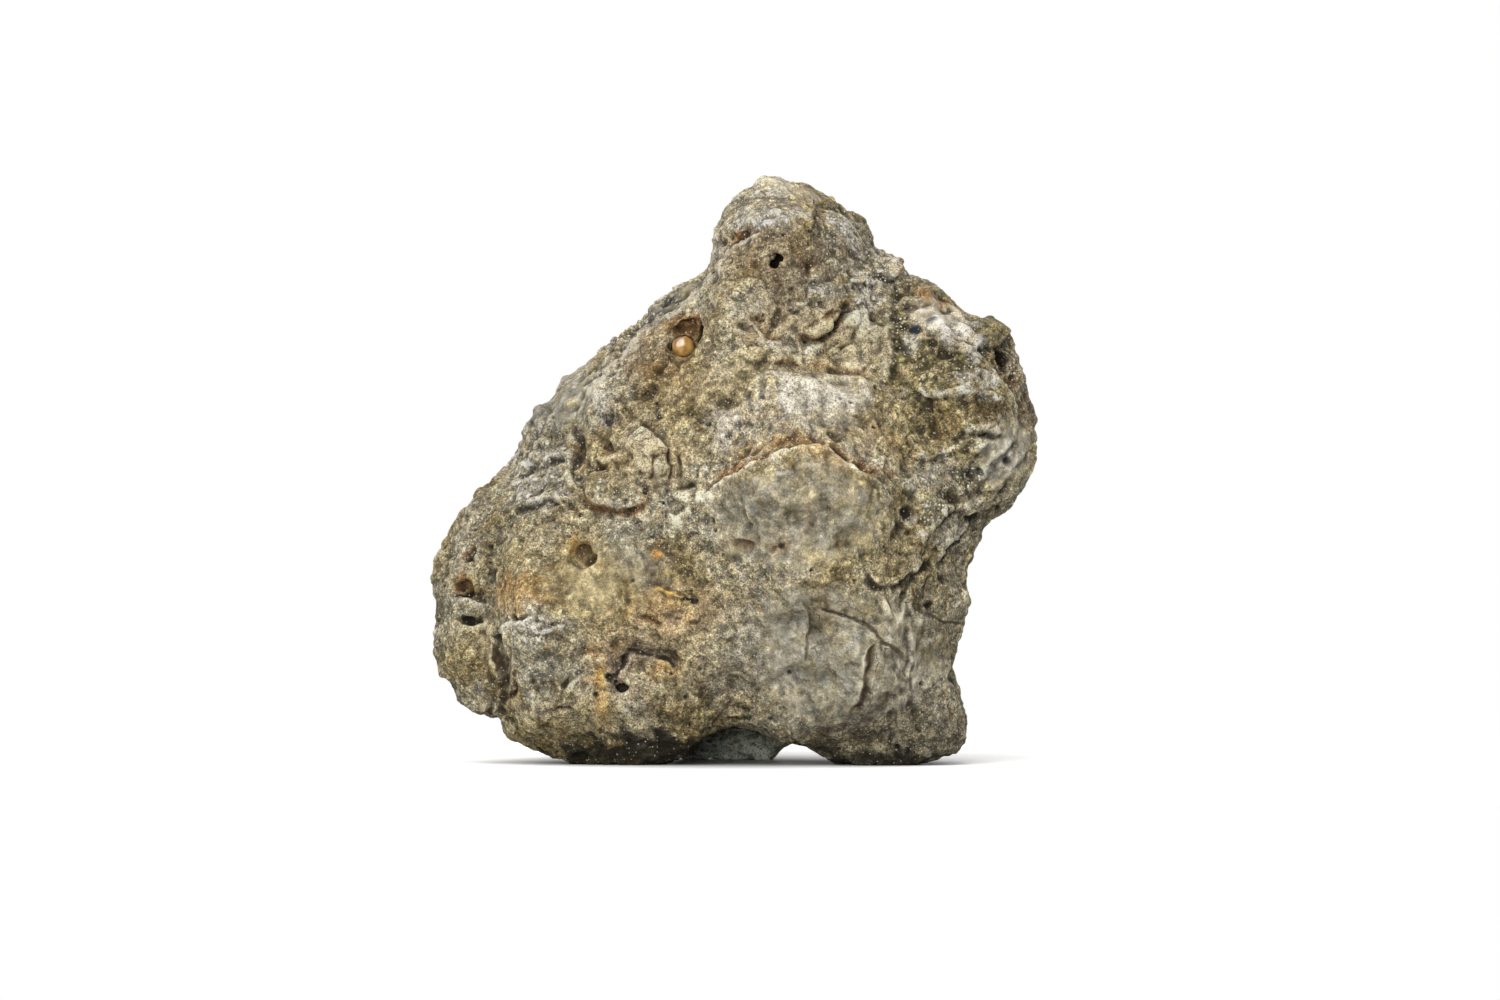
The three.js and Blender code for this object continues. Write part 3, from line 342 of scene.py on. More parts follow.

# Low lumps, clasts and stains of the front: place, radii, rise, turn and tints.
# Some tints here are painted light: painted shade on turned-away facets, in a groove and under the feet, and
# painted light on the low centre.
PATCHES = [
    ("chip in the dark hole", (1.02, 15.08), (0.1, 0.07), 0.12, 0.5, {"pale": 0.3}),
    ("second chip in the dark hole", (1.36, 14.78), (0.08, 0.07), 0.12, 0, {"rust": 0.3}),
    ("glint in the dark hole", (1.2, 15.0), (0.05, 0.06), 0.04, 0, {"pale": 1.6}),
    ("top knob", (0.9, 17.4), (0.42, 0.35), 0.05, 0, {}),
    ("face of the peak", (1.4, 15.2), (1.9, 1.7), 0, 0, {"dark": 0.5, "rust": 0.3}),
    # painted shade on the facet that turns away beyond the left edge
    ("facet left of the peak", (-2.0, 13.75), (1.3, 0.38), 0, 0.75,
     {"dark": 0.75, "olive": 0.4, "sparkle": 0.6}),
    ("right face of the peak", (3.5, 15.6), (0.9, 1.2), 0, 0.5, {"dark": 0.42}),
    ("knob in the saddle", (4.66, 14.75), (0.28, 0.3), 0.22, 0, {"rust": 0.3}),
    ("pale brow of the peak", (0.9, 16.2), (1.1, 0.3), 0.04, 0.1, {"pale": 0.7, "sparkle": 1}),
    ("light top of the peak", (1.5, 17.05), (1.0, 0.3), 0, -0.2, {"pink": 0.3}),
    ("right of the peak", (3.2, 16.0), (0.8, 0.5), 0, -0.7, {"sparkle": 1.0, "pale": 0.5}),
    ("flank of the peak", (3.0, 15.2), (0.9, 0.6), 0.05, 0, {"grey": 0.7, "rust": 0.1}),
    ("streaky right of the peak", (4.0, 14.5), (0.7, 0.7), 0, 0, {"sparkle": 1, "pale": 0.4}),
    ("cream clast in the folds", (3.5, 13.25), (0.5, 0.26), 0.12, 0.6, {"cream": 1.1}),
    ("lower right of the cream clast", (3.85, 13.0), (0.42, 0.24), 0.08, -0.4, {"cream": 1.0}),
    ("top of the cream clast", (3.75, 13.6), (0.2, 0.3), 0.05, 0.2, {"cream": 0.6, "pink": 0.5}),
    ("clast right of it", (3.9, 12.75), (0.6, 0.25), 0.08, -0.1, {"cream": 0.7}),
    ("glassy patch over the cream", (3.9, 13.8), (0.4, 0.4), 0.03, 0, {"pink": 0.7, "sparkle": 1}),
    ("sparkle left of it", (2.6, 14.15), (0.6, 0.2), 0, 0, {"pale": 0.5, "sparkle": 1}),
    ("block over the fold", (2.0, 13.3), (0.6, 0.35), 0.12, 0.2, {"rust": 0.25}),
    ("slab left of the fold", (0.3, 12.4), (0.7, 0.4), 0.1, -0.4, {"grey": 0.4, "dark": 0.1}),
    ("clast under the cream", (3.2, 12.2), (0.6, 0.25), 0.1, 0.1, {"grey": 0.4}),
    ("cream round the folds", (3.0, 12.7), (1.4, 0.9), 0, -0.3, {"cream": 0.4, "ochre": 0.25}),
    ("ochre beside the folds", (0.9, 13.1), (1.1, 0.7), 0, 0.3, {"ochre": 0.3, "pale": 0.2}),
    ("white streak under the left fold", (1.2, 12.45), (0.7, 0.14), 0.02, -0.25, {"pale": 0.9}),
    ("cream of the middle", (-2.4, 8.9), (1.2, 1.0), 0, 0.2, {"cream": 0.3, "ochre": 0.25}),
    ("sparkle in the folds", (2.2, 12.35), (0.35, 0.2), 0, 0, {"pale": 0.7, "sparkle": 1}),
    ("pink shelf", (2.3, 10.9), (2.0, 0.6), 0, 0, {"pink": 0.8}),
    ("lower part of the shelf", (1.6, 10.2), (2.2, 0.5), 0, 0.1, {"pink": 0.35, "grey": 0.4}),
    ("left end of the shelf", (-0.3, 10.0), (0.7, 0.7), 0.05, 0.3, {"pink": 0.6, "sparkle": 0.4}),
    ("dark spot on the shelf", (0.75, 11.15), (0.2, 0.3), -0.05, 0, {"dark": 0.45}),
    ("second dark spot on the shelf", (0.2, 10.1), (0.3, 0.15), -0.05, 0, {"dark": 0.4}),
    ("right shelf over the nose", (4.2, 9.5), (1.1, 0.5), 0.1, -0.4, {"rust": 0.3, "dark": 0.1}),
    ("spot over the nose", (3.1, 10.05), (0.3, 0.2), -0.06, 0, {"dark": 0.5, "rust": 0.2}),
    ("grey right of the nose", (5.6, 8.6), (0.9, 0.6), 0.06, 0.3, {"grey": 0.9, "pink": 0.15}),
    ("nose", (1.7, 7.5), (2.9, 1.5), 0, 0, {"grey": 0.9}),
    ("stain on the nose", (2.1, 7.4), (0.3, 0.8), 0, 0, {"rust": 0.25}),
    ("first cream clast", (-1.0, 7.95), (0.35, 0.22), 0.1, 0.0, {"cream": 0.9, "pale": 0.3}),
    ("second cream clast", (-1.65, 7.4), (0.38, 0.2), 0.08, 0.9, {"cream": 1.2}),
    ("third cream clast", (-1.6, 8.0), (0.35, 0.16), 0.06, 0.3, {"cream": 0.9}),
    ("grey clast beside it", (-2.0, 7.8), (0.2, 0.3), 0.05, -0.4, {"grey": 1, "dark": 0.35}),
    ("body of the upright clast", (-2.75, 9.2), (0.4, 0.75), 0.1, 0.1, {"pale": 0.2, "grey": 0.3}),
    ("cream block by the clast", (-2.3, 8.9), (0.18, 0.35), 0.1, 0, {"cream": 0.5}),
    ("second block by the clast", (-1.9, 8.85), (0.13, 0.35), 0.07, 0, {"cream": 0.3}),
    ("lens", (-3.65, 8.1), (0.9, 0.5), 0.08, -0.1, {"grey": 0.6, "dark": 0.15}),
    ("ochre chip", (-1.95, 5.15), (0.42, 0.13), 0.12, -0.4, {"ochre": 1.2}),
    ("red clast", (-2.35, 6.2), (0.2, 0.16), 0.03, 0, {"rust": 1.0, "ochre": 0.3}),
    ("stain round the slots", (-2.0, 4.4), (1.4, 0.9), 0, 0, {"rust": 0.45, "ochre": 0.2}),
    ("ochre streak", (-4.1, 2.5), (0.3, 1.2), 0, 0.1, {"ochre": 0.9}),
    ("ochre by the bent crack", (-2.0, 2.9), (0.7, 0.4), 0, 0.3, {"ochre": 0.6}),
    ("stain under the bent crack", (-3.3, 3.0), (1.4, 1.2), 0, 0, {"rust": 0.35}),
    ("ring of stains", (-6.5, 5.1), (0.8, 0.7), 0, 0, {"rust": 0.5, "ochre": 0.3}),
    ("upper left face", (-2.4, 11.9), (1.4, 1.2), 0, 0, {"rust": 0.4, "dark": 0.12}),
    # painted shade on the grey facet, which turns away to the left
    ("grey facet", (-5.4, 10.8), (1.3, 1.8), 0, -0.6, {"grey": 1, "dark": 0.3}),
    ("dark knob on the outline", (-5.9, 10.35), (0.3, 0.35), 0.12, 0, {"dark": 0.5, "blue": 0.4}),
    # painted shade on the back of the left slope, which turns away
    ("back of the left slope", (-2.7, 13.9), (2.2, 0.6), 0, 0.65, {"grey": 1, "dark": 0.45}),
    ("left flank", (-5.8, 8.7), (1.3, 1.0), 0, 0.3, {"sparkle": 1, "pale": 0.4}),
    ("white patch on the flank", (-6.2, 8.35), (0.5, 0.3), 0.05, 0.5, {"pale": 0.9, "sparkle": 1}),
    ("flank by the edge", (-4.1, 11.1), (0.3, 0.8), 0, 0.1, {"sparkle": 1, "pale": 0.6}),
    ("blue shadow by the edge", (-3.8, 10.3), (0.45, 0.2), -0.08, 0, {"dark": 0.45, "blue": 0.3}),
    ("white glints low on the left", (-6.0, 4.0), (1.1, 0.5), 0, 0.2, {"sparkle": 0.9, "pale": 0.35}),
    ("glints on the left foot", (-6.0, 1.7), (0.7, 0.4), 0, 0, {"sparkle": 0.6, "pale": 0.3}),
    ("grey patch of the left foot", (-6.0, 2.7), (0.6, 0.8), 0, 0, {"grey": 0.9}),
    ("left lobe", (-8.1, 4.6), (1.0, 3.0), 0, 0, {"dark": 0.16}),
    ("shade over the arch", (0.4, 1.3), (1.8, 0.45), 0, 0, {"dark": 0.3}),
    ("rust round the nose lip", (2.6, 9.3), (1.6, 0.35), 0, -0.45, {"rust": 0.45}),
    ("cream stain of the lobe", (-7.4, 3.7), (0.3, 0.7), 0, 0.1, {"cream": 0.6, "ochre": 0.2}),
    ("brown bump on the right lobe", (5.5, 14.3), (0.65, 0.5), 0.14, 0,
     {"olive": 0.8, "dark": 0.45, "sparkle": 0.6}),
    ("brown under the bump", (5.8, 13.85), (0.8, 0.25), 0, -0.3, {"rust": 0.7, "dark": 0.4}),
    ("dark cap on the right lobe", (7.55, 12.95), (0.5, 0.4), 0.16, 0,
     {"olive": 0.9, "dark": 0.6, "sparkle": 0.5}),
    ("pink band", (6.2, 13.1), (1.15, 0.5), 0.08, -0.5, {"pink": 1.0}),
    ("pink left of the band", (5.1, 12.55), (0.35, 0.3), 0.04, 0, {"pink": 0.8}),
    ("pink end of the band", (7.0, 12.3), (0.3, 0.4), 0, -0.3, {"pink": 0.8}),
    ("middle of the right lobe", (6.4, 11.7), (1.7, 0.8), 0, 0, {"sparkle": 1, "olive": 0.45}),
    ("dark ground of the lobe's moss", (6.35, 12.0), (1.0, 0.5), 0, -0.45, {"dark": 0.55, "sparkle": 0.5}),
    ("dark ground of the cap", (7.75, 12.9), (0.6, 0.5), 0, -0.3, {"dark": 0.5}),
    ("dark rim of the lobe", (8.35, 11.9), (0.4, 0.9), 0, 0.2, {"dark": 0.35, "olive": 0.4, "sparkle": 0.8}),
    ("dark shoulder of the lobe", (5.3, 14.15), (0.75, 0.4), 0, -0.3, {"dark": 0.4}),
    # painted shade in the groove between the middle and the right lobe
    ("dark hollow beside the folds", (4.65, 12.5), (0.35, 1.2), 0, 0.1, {"dark": 0.4}),
    ("dark middle of the olive hollow", (5.95, 10.3), (0.4, 0.5), 0, 0, {"dark": 0.35}),
    ("dark glints low on the lobe", (6.95, 8.45), (0.4, 0.5), 0, 0.3,
     {"dark": 0.5, "olive": 0.5, "sparkle": 1}),
    ("moss right of the nose", (5.9, 7.6), (1.0, 0.5), 0, 0.6, {"olive": 0.5, "sparkle": 1.0}),
    ("gold under the olive hollow", (6.4, 9.8), (0.9, 0.7), 0, 0,
     {"olive": 0.15, "cream": 0.15, "sparkle": 0.9}),
    ("grey of the peak", (0.5, 16.4), (1.5, 1.1), 0, 0.6, {"grey": 0.9, "sparkle": 0.6}),
    ("grey right face of the peak", (3.2, 15.3), (1.3, 1.3), 0, 0, {"grey": 0.7, "sparkle": 0.6}),
    ("mossy groove", (4.9, 12.7), (0.4, 1.5), 0, 0, {"sparkle": 1, "olive": 0.9, "dark": 0.35}),
    ("pale edge of the right lobe", (7.2, 11.4), (0.6, 0.4), 0.05, -0.2, {"pink": 0.7, "sparkle": 0.6}),
    ("pale ledge of the right lobe", (6.3, 11.05), (1.2, 0.14), 0.04, 0, {"pale": 0.5}),
    ("grey side of the right lobe", (7.9, 9.2), (0.9, 1.1), 0, -0.4, {"grey": 1, "pink": 0.2}),
    ("right edge of the right lobe", (8.6, 11.3), (0.4, 1.5), 0, 0.1, {"rust": 0.3, "dark": 0.35}),
    ("lower right", (2.8, 3.0), (2.9, 2.4), 0, 0, {"grey": 0.9}),
    ("side of the stone", (6.0, 4.0), (0.8, 2.2), 0, 0, {"grey": 0.4, "dark": 0.15}),
    ("cream fan", (4.7, 4.9), (0.3, 0.5), 0.03, 0, {"cream": 0.4}),
    ("grey facet under the lobe", (6.2, 6.8), (0.5, 0.6), 0, 0.7, {"grey": 0.8, "pink": 0.2}),
    # painted light: the low centre and the place left of it are lightened
    ("low centre", (-0.3, 3.4), (2.6, 1.7), 0, 0, {"pale": 0.3}),
    ("left of the low centre", (-4.6, 2.2), (2.2, 1.3), 0, 0, {"pale": 0.2}),
    # painted shade on the facet over the grain, which turns away
    ("facet over the grain", (-2.45, 13.75), (1.6, 0.35), 0, 0.65, {"dark": 0.55, "grey": 1, "sparkle": 0.8}),
    # painted shade where the right foot curves under
    ("right foot", (3.6, 0.7), (2.0, 1.1), 0, 0, {"grey": 0.5, "dark": 0.7}),
    ("flare of the right foot", (5.9, 0.7), (1.4, 1.0), 0, 0, {"grey": 0.4, "dark": 0.35}),
    ("light ground among the pores", (-0.7, 11.2), (0.9, 0.7), 0, 0, {"cream": 0.25, "ochre": 0.1}),
    # painted shade under the front feet
    ("underside of the left foot", (-2.8, 0.0), (2.8, 0.78), 0, 0, {"dark": 2.9}),
    ("underside of the right foot", (3.9, 0.0), (2.6, 0.55), 0, 0, {"dark": 1.8}),
]

# Streaky ground: place, radii, the way the streaks run, their spacing, length and height.
STREAKED = [
    ("shelf over the nose", (2.2, 10.8), (2.2, 0.8), 1.75, 0.36, 0.9, 0.045),
    ("right of the peak", (3.7, 14.9), (1.0, 1.3), -0.9, 0.2, 0.9, 0.06),
    ("side of the right lobe", (7.8, 9.2), (1.1, 1.3), 1.0, 0.24, 1.6, 0.06),
    ("facet of the left slope", (-4.4, 11.2), (1.2, 1.8), 1.0, 0.25, 1.4, 0.03),
    ("corner of the front", (5.0, 3.6), (0.8, 2.6), math.pi / 2, 0.26, 1.5, 0.035),
    ("folds beside the lobe", (5.6, 7.0), (1.0, 1.1), 0.8, 0.25, 1.1, 0.06),
    ("left slope of the peak", (-0.7, 15.2), (0.5, 1.3), 1.2, 0.2, 1.2, 0.05),
    ("top of the lower left", (-6.2, 4.0), (1.0, 0.6), 0.3, 0.18, 0.8, 0.045),
]

# Where the front is roughest and smoothest: place, radii, turn and how much rougher it is there.
GROUND = [
    ((6.3, 11.8), (2.0, 2.0), 0, 1.0),
    ((-5.8, 8.8), (1.8, 1.8), 0, 0.7),
    ((2.2, 13.2), (2.4, 1.4), 0, 0.8),
    ((-2.6, 11.5), (1.8, 1.8), 0, 0.3),
    ((-2.9, 8.8), (1.3, 1.4), 0, 0.4),
    ((2.0, 7.4), (3.2, 1.6), 0, -0.8),
    ((3.0, 3.2), (3.2, 2.6), 0, -0.6),
    ((-5.2, 11.0), (1.3, 1.8), -0.6, -0.8),
    ((6.2, 13.1), (1.3, 0.6), -0.5, -1.0),
    ((-2.6, 13.9), (2.2, 0.7), 0.65, -0.9),
    ((7.9, 9.3), (1.0, 1.4), -0.4, -0.6),
    ((-4.0, 5.4), (2.6, 1.6), 0, -0.3),
]

# Small shifts of the outline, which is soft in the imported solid: place, reach and shift.
RIM = [
    ("knob on the peak", (0.9, 17.4), 0.7, (0.0, 0.06)),
    ("right shoulder of the peak", (2.9, 17.0), 1.2, (-0.12, -0.2)),
    ("left side of the peak", (-0.5, 16.4), 1.2, (-0.12, 0.05)),
    ("saddle", (4.5, 14.9), 0.8, (0.4, 0.08)),
    ("side under the right lobe", (7.2, 6.2), 1.6, (-0.2, 0.0)),
    ("right edge of the lobe", (8.9, 10.5), 1.8, (-0.12, 0.0)),
    ("upper right of the lobe", (8.2, 13.0), 0.9, (0.1, 0.08)),
    ("left lobe", (-9.1, 4.2), 2.6, (-0.14, 0.0)),
    ("left slope", (-5.9, 10.8), 1.2, (0.12, -0.08)),
    ("left shoulder", (-4.7, 11.8), 0.9, (0.1, -0.08)),
]

# Where the front feet's undersides rise clear of the ground: x, reach and lift.
FOOT_EDGES = [
    ("outer edge of the right foot", 6.6, 1.9, 0.16),
    ("inner edge of the right foot", 2.4, 1.2, -0.06),
    ("outer edge of the left foot", -6.8, 1.4, 0.14),
    ("inner edge of the left foot", -1.5, 0.8, -0.2),
]

# The hollow that the grain lies in is pushed back: its place, radii and depth
SEAT_AT = (-1.64, 12.32)
SEAT_RADII = (0.42, 0.36)
SEAT_DEPTH = 0.55

# How far the right side of the rear foot is drawn in
REAR_FOOT_NARROWED = 0.75

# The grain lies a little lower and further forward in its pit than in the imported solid
GRAIN_SHIFT = (0.0, -0.08, -0.14)

# The way that the grain's painted highlight, a pale spot, faces: towards the lights
HIGHLIGHT_WAY = (-0.25, -0.9, 0.4)

PORE_DEPTH = 0.10

TINTS = ("dark", "rust", "pale", "cream", "pink", "ochre", "grey", "blue", "olive", "sparkle")


# Helpers

def only(obj):
    """Selects one object and makes it active."""
    bpy.ops.object.select_all(action="DESELECT")
    obj.select_set(True)
    bpy.context.view_layer.objects.active = obj


def finish_with(obj, kind, **settings):
    """Adds a modifier and applies it."""
    only(obj)
    modifier = obj.modifiers.new(kind.lower(), kind)
    for name, value in settings.items():
        setattr(modifier, name, value)
    bpy.ops.object.modifier_apply(modifier=modifier.name)


def rescale(obj, factor):
    only(obj)
    obj.scale = (factor,) * 3
    bpy.ops.object.transform_apply(location=False, rotation=False, scale=True)


def finish_piece(obj):
    """Brings a piece from millimetres to the frame's metres, with smooth shading."""
    rescale(obj, MM)
    bpy.ops.object.shade_smooth()


def paint(obj, material):
    obj.data.materials.clear()
    obj.data.materials.append(material)


def merged_copy(node, name):
    """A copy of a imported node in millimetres, with its loose triangles joined."""
    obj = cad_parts[node].copy()
    obj.data = obj.data.copy()
    obj.name = name
    bpy.context.collection.objects.link(obj)
    rescale(obj, 1 / MM)
    bpy.ops.object.mode_set(mode="EDIT")
    bpy.ops.mesh.select_all(action="SELECT")
    bpy.ops.mesh.remove_doubles(threshold=0.001)
    bpy.ops.object.mode_set(mode="OBJECT")
    return obj


def read_vectors(mesh, field):
    """A vector for each vertex: its place, "co", or its "normal"."""
    flat = np.empty(len(mesh.vertices) * 3)
    mesh.vertices.foreach_get(field, flat)
    return flat.reshape(-1, 3)


def write_places(mesh, places):
    mesh.vertices.foreach_set("co", places.ravel())
    mesh.update()


def write_mask(mesh, name, values):
    layer = mesh.attributes.new(name, "FLOAT", "POINT")
    layer.data.foreach_set("value", np.clip(values, 0, 1).astype(np.float32))


def ramp(values, low, high):
    """0 below low and 1 above high, rising smoothly between them."""
    share = np.clip((values - low) / (high - low), 0, 1)
    return share * share * (3 - 2 * share)


# Noise

def corner_slopes(seed):
    slopes = np.random.default_rng(seed).normal(size=(LATTICE, LATTICE, LATTICE, 3))
    return slopes / np.linalg.norm(slopes, axis=3, keepdims=True)


def noise(points, size, seed):
    """Smooth noise from about -1 to 1, with lumps about size across."""
    slopes = corner_slopes(seed)
    scaled = points / size
    low = np.floor(scaled).astype(int)
    part = scaled - low
    fade = part**3 * (part * (part * 6 - 15) + 10)
    total = np.zeros(len(points))
    for corner in itertools.product((0, 1), repeat=3):
        at = (low + corner) % LATTICE
        pull = ((part - corner) * slopes[at[:, 0], at[:, 1], at[:, 2]]).sum(axis=1)
        total += pull * np.where(corner, fade, 1 - fade).prod(axis=1)
    return total * 1.6


def layers(points, size, octaves, seed, fall=0.5):
    """Octaves of smooth noise, each half the size of the last."""
    total = sum(noise(points, size / 2**i, seed + i) * fall**i for i in range(octaves))
    return total / sum(fall**i for i in range(octaves))


def wander(points, size, reach, seeds):
    """How far three noises, one for each axis, push the points about."""
    return reach * np.stack([noise(points, size, seed) for seed in seeds], axis=1)


def ridges(points, size, octaves, seed):
    """Octaves of noise folded into sharp crests, from 0 to 1."""
    total = sum((1 - abs(noise(points, size / 2**i, seed + i))) ** 2 * 0.5**i for i in range(octaves))
    return total / sum(0.5**i for i in range(octaves))


def cells(points, size, seed):
    """Distances to the nearest and next of scattered seeds, and a random number for the nearest."""
    random = np.random.default_rng(seed)
    offsets = random.random((LATTICE, LATTICE, LATTICE, 3))
    marks = random.random((LATTICE, LATTICE, LATTICE))
    scaled = points / size
    low = np.floor(scaled).astype(int)
    first = np.full(len(points), np.inf)
    second = np.full(len(points), np.inf)
    mark = np.zeros(len(points))
    for step in itertools.product((-1, 0, 1), repeat=3):
        cell = low + step
        at = cell % LATTICE
        index = (at[:, 0], at[:, 1], at[:, 2])
        gap = np.linalg.norm(cell + offsets[index] - scaled, axis=1)
        nearer = gap < first
        second = np.where(nearer, first, np.minimum(second, gap))
        mark = np.where(nearer, marks[index], mark)
        first = np.where(nearer, gap, first)
    return first * size, second * size, mark


# Placed forms of the front

def beside_line(x, z, line):
    """Distance to a line of points, its sign (positive on the left of its way), and the share along it."""
    nearest = np.full(len(x), np.inf)
    side = np.ones(len(x))
    along = np.zeros(len(x))
    lengths = [math.dist(a, b) for a, b in zip(line, line[1:])]
    passed = 0.0
    for (ax, az), (bx, bz), length in zip(line, line[1:], lengths):
        dx, dz = (bx - ax) / length, (bz - az) / length
        on = np.clip((x - ax) * dx + (z - az) * dz, 0, length)
        away_x, away_z = x - ax - on * dx, z - az - on * dz
        distance = np.hypot(away_x, away_z)
        nearer = distance < nearest
        side = np.where(nearer, np.sign(dx * away_z - dz * away_x), side)
        along = np.where(nearer, (passed + on) / sum(lengths), along)
        nearest = np.where(nearer, distance, nearest)
        passed += length
    return nearest, side, along


def oval_distance(x, z, at, radii, turn):
    """0 at the middle of an oval and 1 at its edge."""
    dx, dz = x - at[0], z - at[1]
    across = (dx * math.cos(turn) + dz * math.sin(turn)) / radii[0]
    up = (dz * math.cos(turn) - dx * math.sin(turn)) / radii[1]
    return np.hypot(across, up)


class Carving:
    """Heights and tints gathered over the stone's fine mesh before they are applied."""

    def __init__(self, places, normals):
        self.places = places
        self.height = np.zeros(len(places))
        self.tints = {name: np.zeros(len(places)) for name in TINTS}
        self.hair_distance = np.full(len(places), HAIR_REACH)
        self.hair_offset = np.full(len(places), HAIR_WIDTHS)
        self.hair_dark = np.zeros(len(places))
        self.hair_pale = np.zeros(len(places))
        self.rear_foot = ramp(places[:, 1], 0.5, 1.5) * (1 - ramp(places[:, 2], 1.5, 3.0))
        facing = ramp(-normals[:, 1], -0.25, 0.05) * ramp(-places[:, 1], -5.0, -3.5)
        self.front = facing * (1 - self.rear_foot)
        # the placed forms wander a little off their drawn lines
        self.x = places[:, 0] + 0.10 * noise(places, 0.7, 901) + 0.05 * noise(places, 0.25, 903)
        self.z = places[:, 2] + 0.10 * noise(places, 0.7, 902) + 0.05 * noise(places, 0.25, 904)
        self.ragged = np.clip(1 + 0.6 * noise(places, 0.4, 905), 0.4, 1.7)
        self.granular = np.clip(0.55 + 1.3 * noise(places, 0.16, 907), 0.1, 1.2)
        self.broken = np.clip(0.75 + 0.9 * noise(places, 0.5, 906), 0.1, 1.3)

    def near(self, points, margin):
        """The places of the front within a margin of some points."""
        xs, zs = [p[0] for p in points], [p[1] for p in points]
        inside = (self.x > min(xs) - margin) & (self.x < max(xs) + margin)
        inside &= (self.z > min(zs) - margin) & (self.z < max(zs) + margin) & (self.front > 0)
        return np.nonzero(inside)[0]

    def lift(self, index, height):
        self.height[index] += height * self.front[index]

    # Lays tints: the stone's stains, and the painted shade and painted highlights of the forms
    def stain(self, index, tints, share):
        share = share * self.front[index]
        for name, amount in tints.items():
            self.tints[name][index] = np.maximum(self.tints[name][index], amount * share)

    def cut_step(self, rise, drop, width, fade, crest, foot, line):
        index = self.near(line, 1.6 * fade)
        distance, side, along = beside_line(self.x[index], self.z[index], line)
        offset = distance * side
        taper = ramp(along, 0, 0.12) * (1 - ramp(along, 0.88, 1))
        strength = taper * (1 - ramp(distance, 0.8 * fade, 1.5 * fade)) * self.broken[index]
        high = ramp(offset, -width / 2, width / 2) * (1 - ramp(offset, width, fade))
        low = ramp(-offset, -width / 2, width / 2) * (1 - ramp(-offset, width, fade))
        self.lift(index, strength * (rise * high - drop * low))
        ragged_width = width * self.ragged[index]
        at_crest = 1 - ramp(abs(offset - 0.5 * width), 0.2 * ragged_width, 1.0 * ragged_width)
        at_foot = 1 - ramp(abs(offset + 0.7 * width), 0.4 * ragged_width, 1.5 * ragged_width)
        # the crest's pale is partly a painted highlight on the lit edge, and the foot's dark is painted shade
        # under the scarp
        self.stain(index, crest, at_crest * strength * self.granular[index])
        self.stain(index, foot, at_foot * strength)

    def cut_groove(self, width, depth, tints, line):
        index = self.near(line, 4 * width)
        distance, _, along = beside_line(self.x[index], self.z[index], line)
        distance = distance / (width * self.ragged[index])
        taper = ramp(along, 0, 0.1) * (1 - ramp(along, 0.9, 1))
        self.lift(index, -depth * (1 - ramp(distance, 0, 1)) * taper * self.broken[index])
        # the groove's dark tint is painted shade in it
        self.stain(index, tints, (1 - ramp(distance, 0.4, 1.3)) * self.broken[index])

    def sink_hole(self, at, radii, depth, turn, tints):
        index = self.near([at], 2 * max(radii))
        out = oval_distance(self.x[index], self.z[index], at, radii, turn) / self.ragged[index] ** 0.5
        self.lift(index, -depth * (1 - ramp(out, 0.2, 1.1)))
        # the pit's dark tint is painted shade in it
        self.stain(index, tints, 1 - ramp(out, 0.5, 1.15))

    def lay_patch(self, at, radii, rise, turn, tints):
        index = self.near([at], 2 * max(radii))
        out = oval_distance(self.x[index], self.z[index], at, radii, turn) / self.ragged[index]
        self.lift(index, rise * (1 - ramp(out, 0.5, 1.05)))
        edge = 0.25 if max(radii) < 0.7 else 0.6
        self.stain(index, tints, (1 - ramp(out, 1 - edge, 1 + 0.6 * edge)) * self.broken[index] ** 0.5)

    def draw_hairline(self, width, dark, pale, line):
        """Keeps the signed distance in widths, for the material to draw the line with."""
        index = self.near(line, 2 * HAIR_REACH)
        distance, side, along = beside_line(self.x[index], self.z[index], line)
        nearer = distance < self.hair_distance[index]
        index, distance, side, along = index[nearer], distance[nearer], side[nearer], along[nearer]
        taper = ramp(along, 0, 0.06) * (1 - ramp(along, 0.94, 1))
        strength = taper * self.front[index] * np.clip(0.3 + self.broken[index], 0, 1)
        self.hair_distance[index] = distance
        self.hair_offset[index] = np.clip(distance * side / width, -HAIR_WIDTHS, HAIR_WIDTHS)
        self.hair_dark[index] = dark * strength
        self.hair_pale[index] = pale * strength * self.granular[index]

    def streak(self, at, radii, way, spacing, length, height):
        index = self.near([at], 1.5 * max(radii))
        x, z = self.x[index], self.z[index]
        along = x * math.cos(way) + z * math.sin(way)
        across = z * math.cos(way) - x * math.sin(way)
        stretched = np.stack([across / spacing, along / length, self.places[index, 1] / length], axis=1)
        share = 1 - ramp(oval_distance(x, z, at, radii, 0), 0.5, 1.1)
        crests = 1 - 2 * abs(noise(stretched, 1.0, 911))
        self.lift(index, height * share * 0.5 * crests)
        # the pale crests of the streaks are partly painted highlights
        self.stain(index, {"pale": 0.7}, share * ramp(crests, 0.4, 1.0) * self.granular[index])

    def place_forms(self):
        """Cuts, lays and draws all of the front's listed forms."""
        for forms, place in (
            (STEPS, self.cut_step),
            (GROOVES, self.cut_groove),
            (HOLES, self.sink_hole),
            (PATCHES, self.lay_patch),
            (STREAKED, self.streak),
            (HAIRLINES, self.draw_hairline),
        ):
            for _, *form in forms:
                place(*form)


def ground_roughness(carving):
    """How rough the ground is, from 0 to 1, over all sides of the stone."""
    rough = 0.5 + 0.5 * layers(carving.places, 4.5, 2, 31)
    for at, radii, turn, share in GROUND:
        out = oval_distance(carving.x, carving.z, at, radii, turn)
        rough += share * carving.front * (1 - ramp(out, 0.4, 1.2))
    return np.clip(rough, 0.08, 1)


def terraces(values, steps, sharpness):
    """Turns a smooth rise into flats with scarps between them."""
    scaled = values * steps
    level = np.floor(scaled)
    return (level + ramp(scaled - level, 0.5 - sharpness / 2, 0.5 + sharpness / 2)) / steps


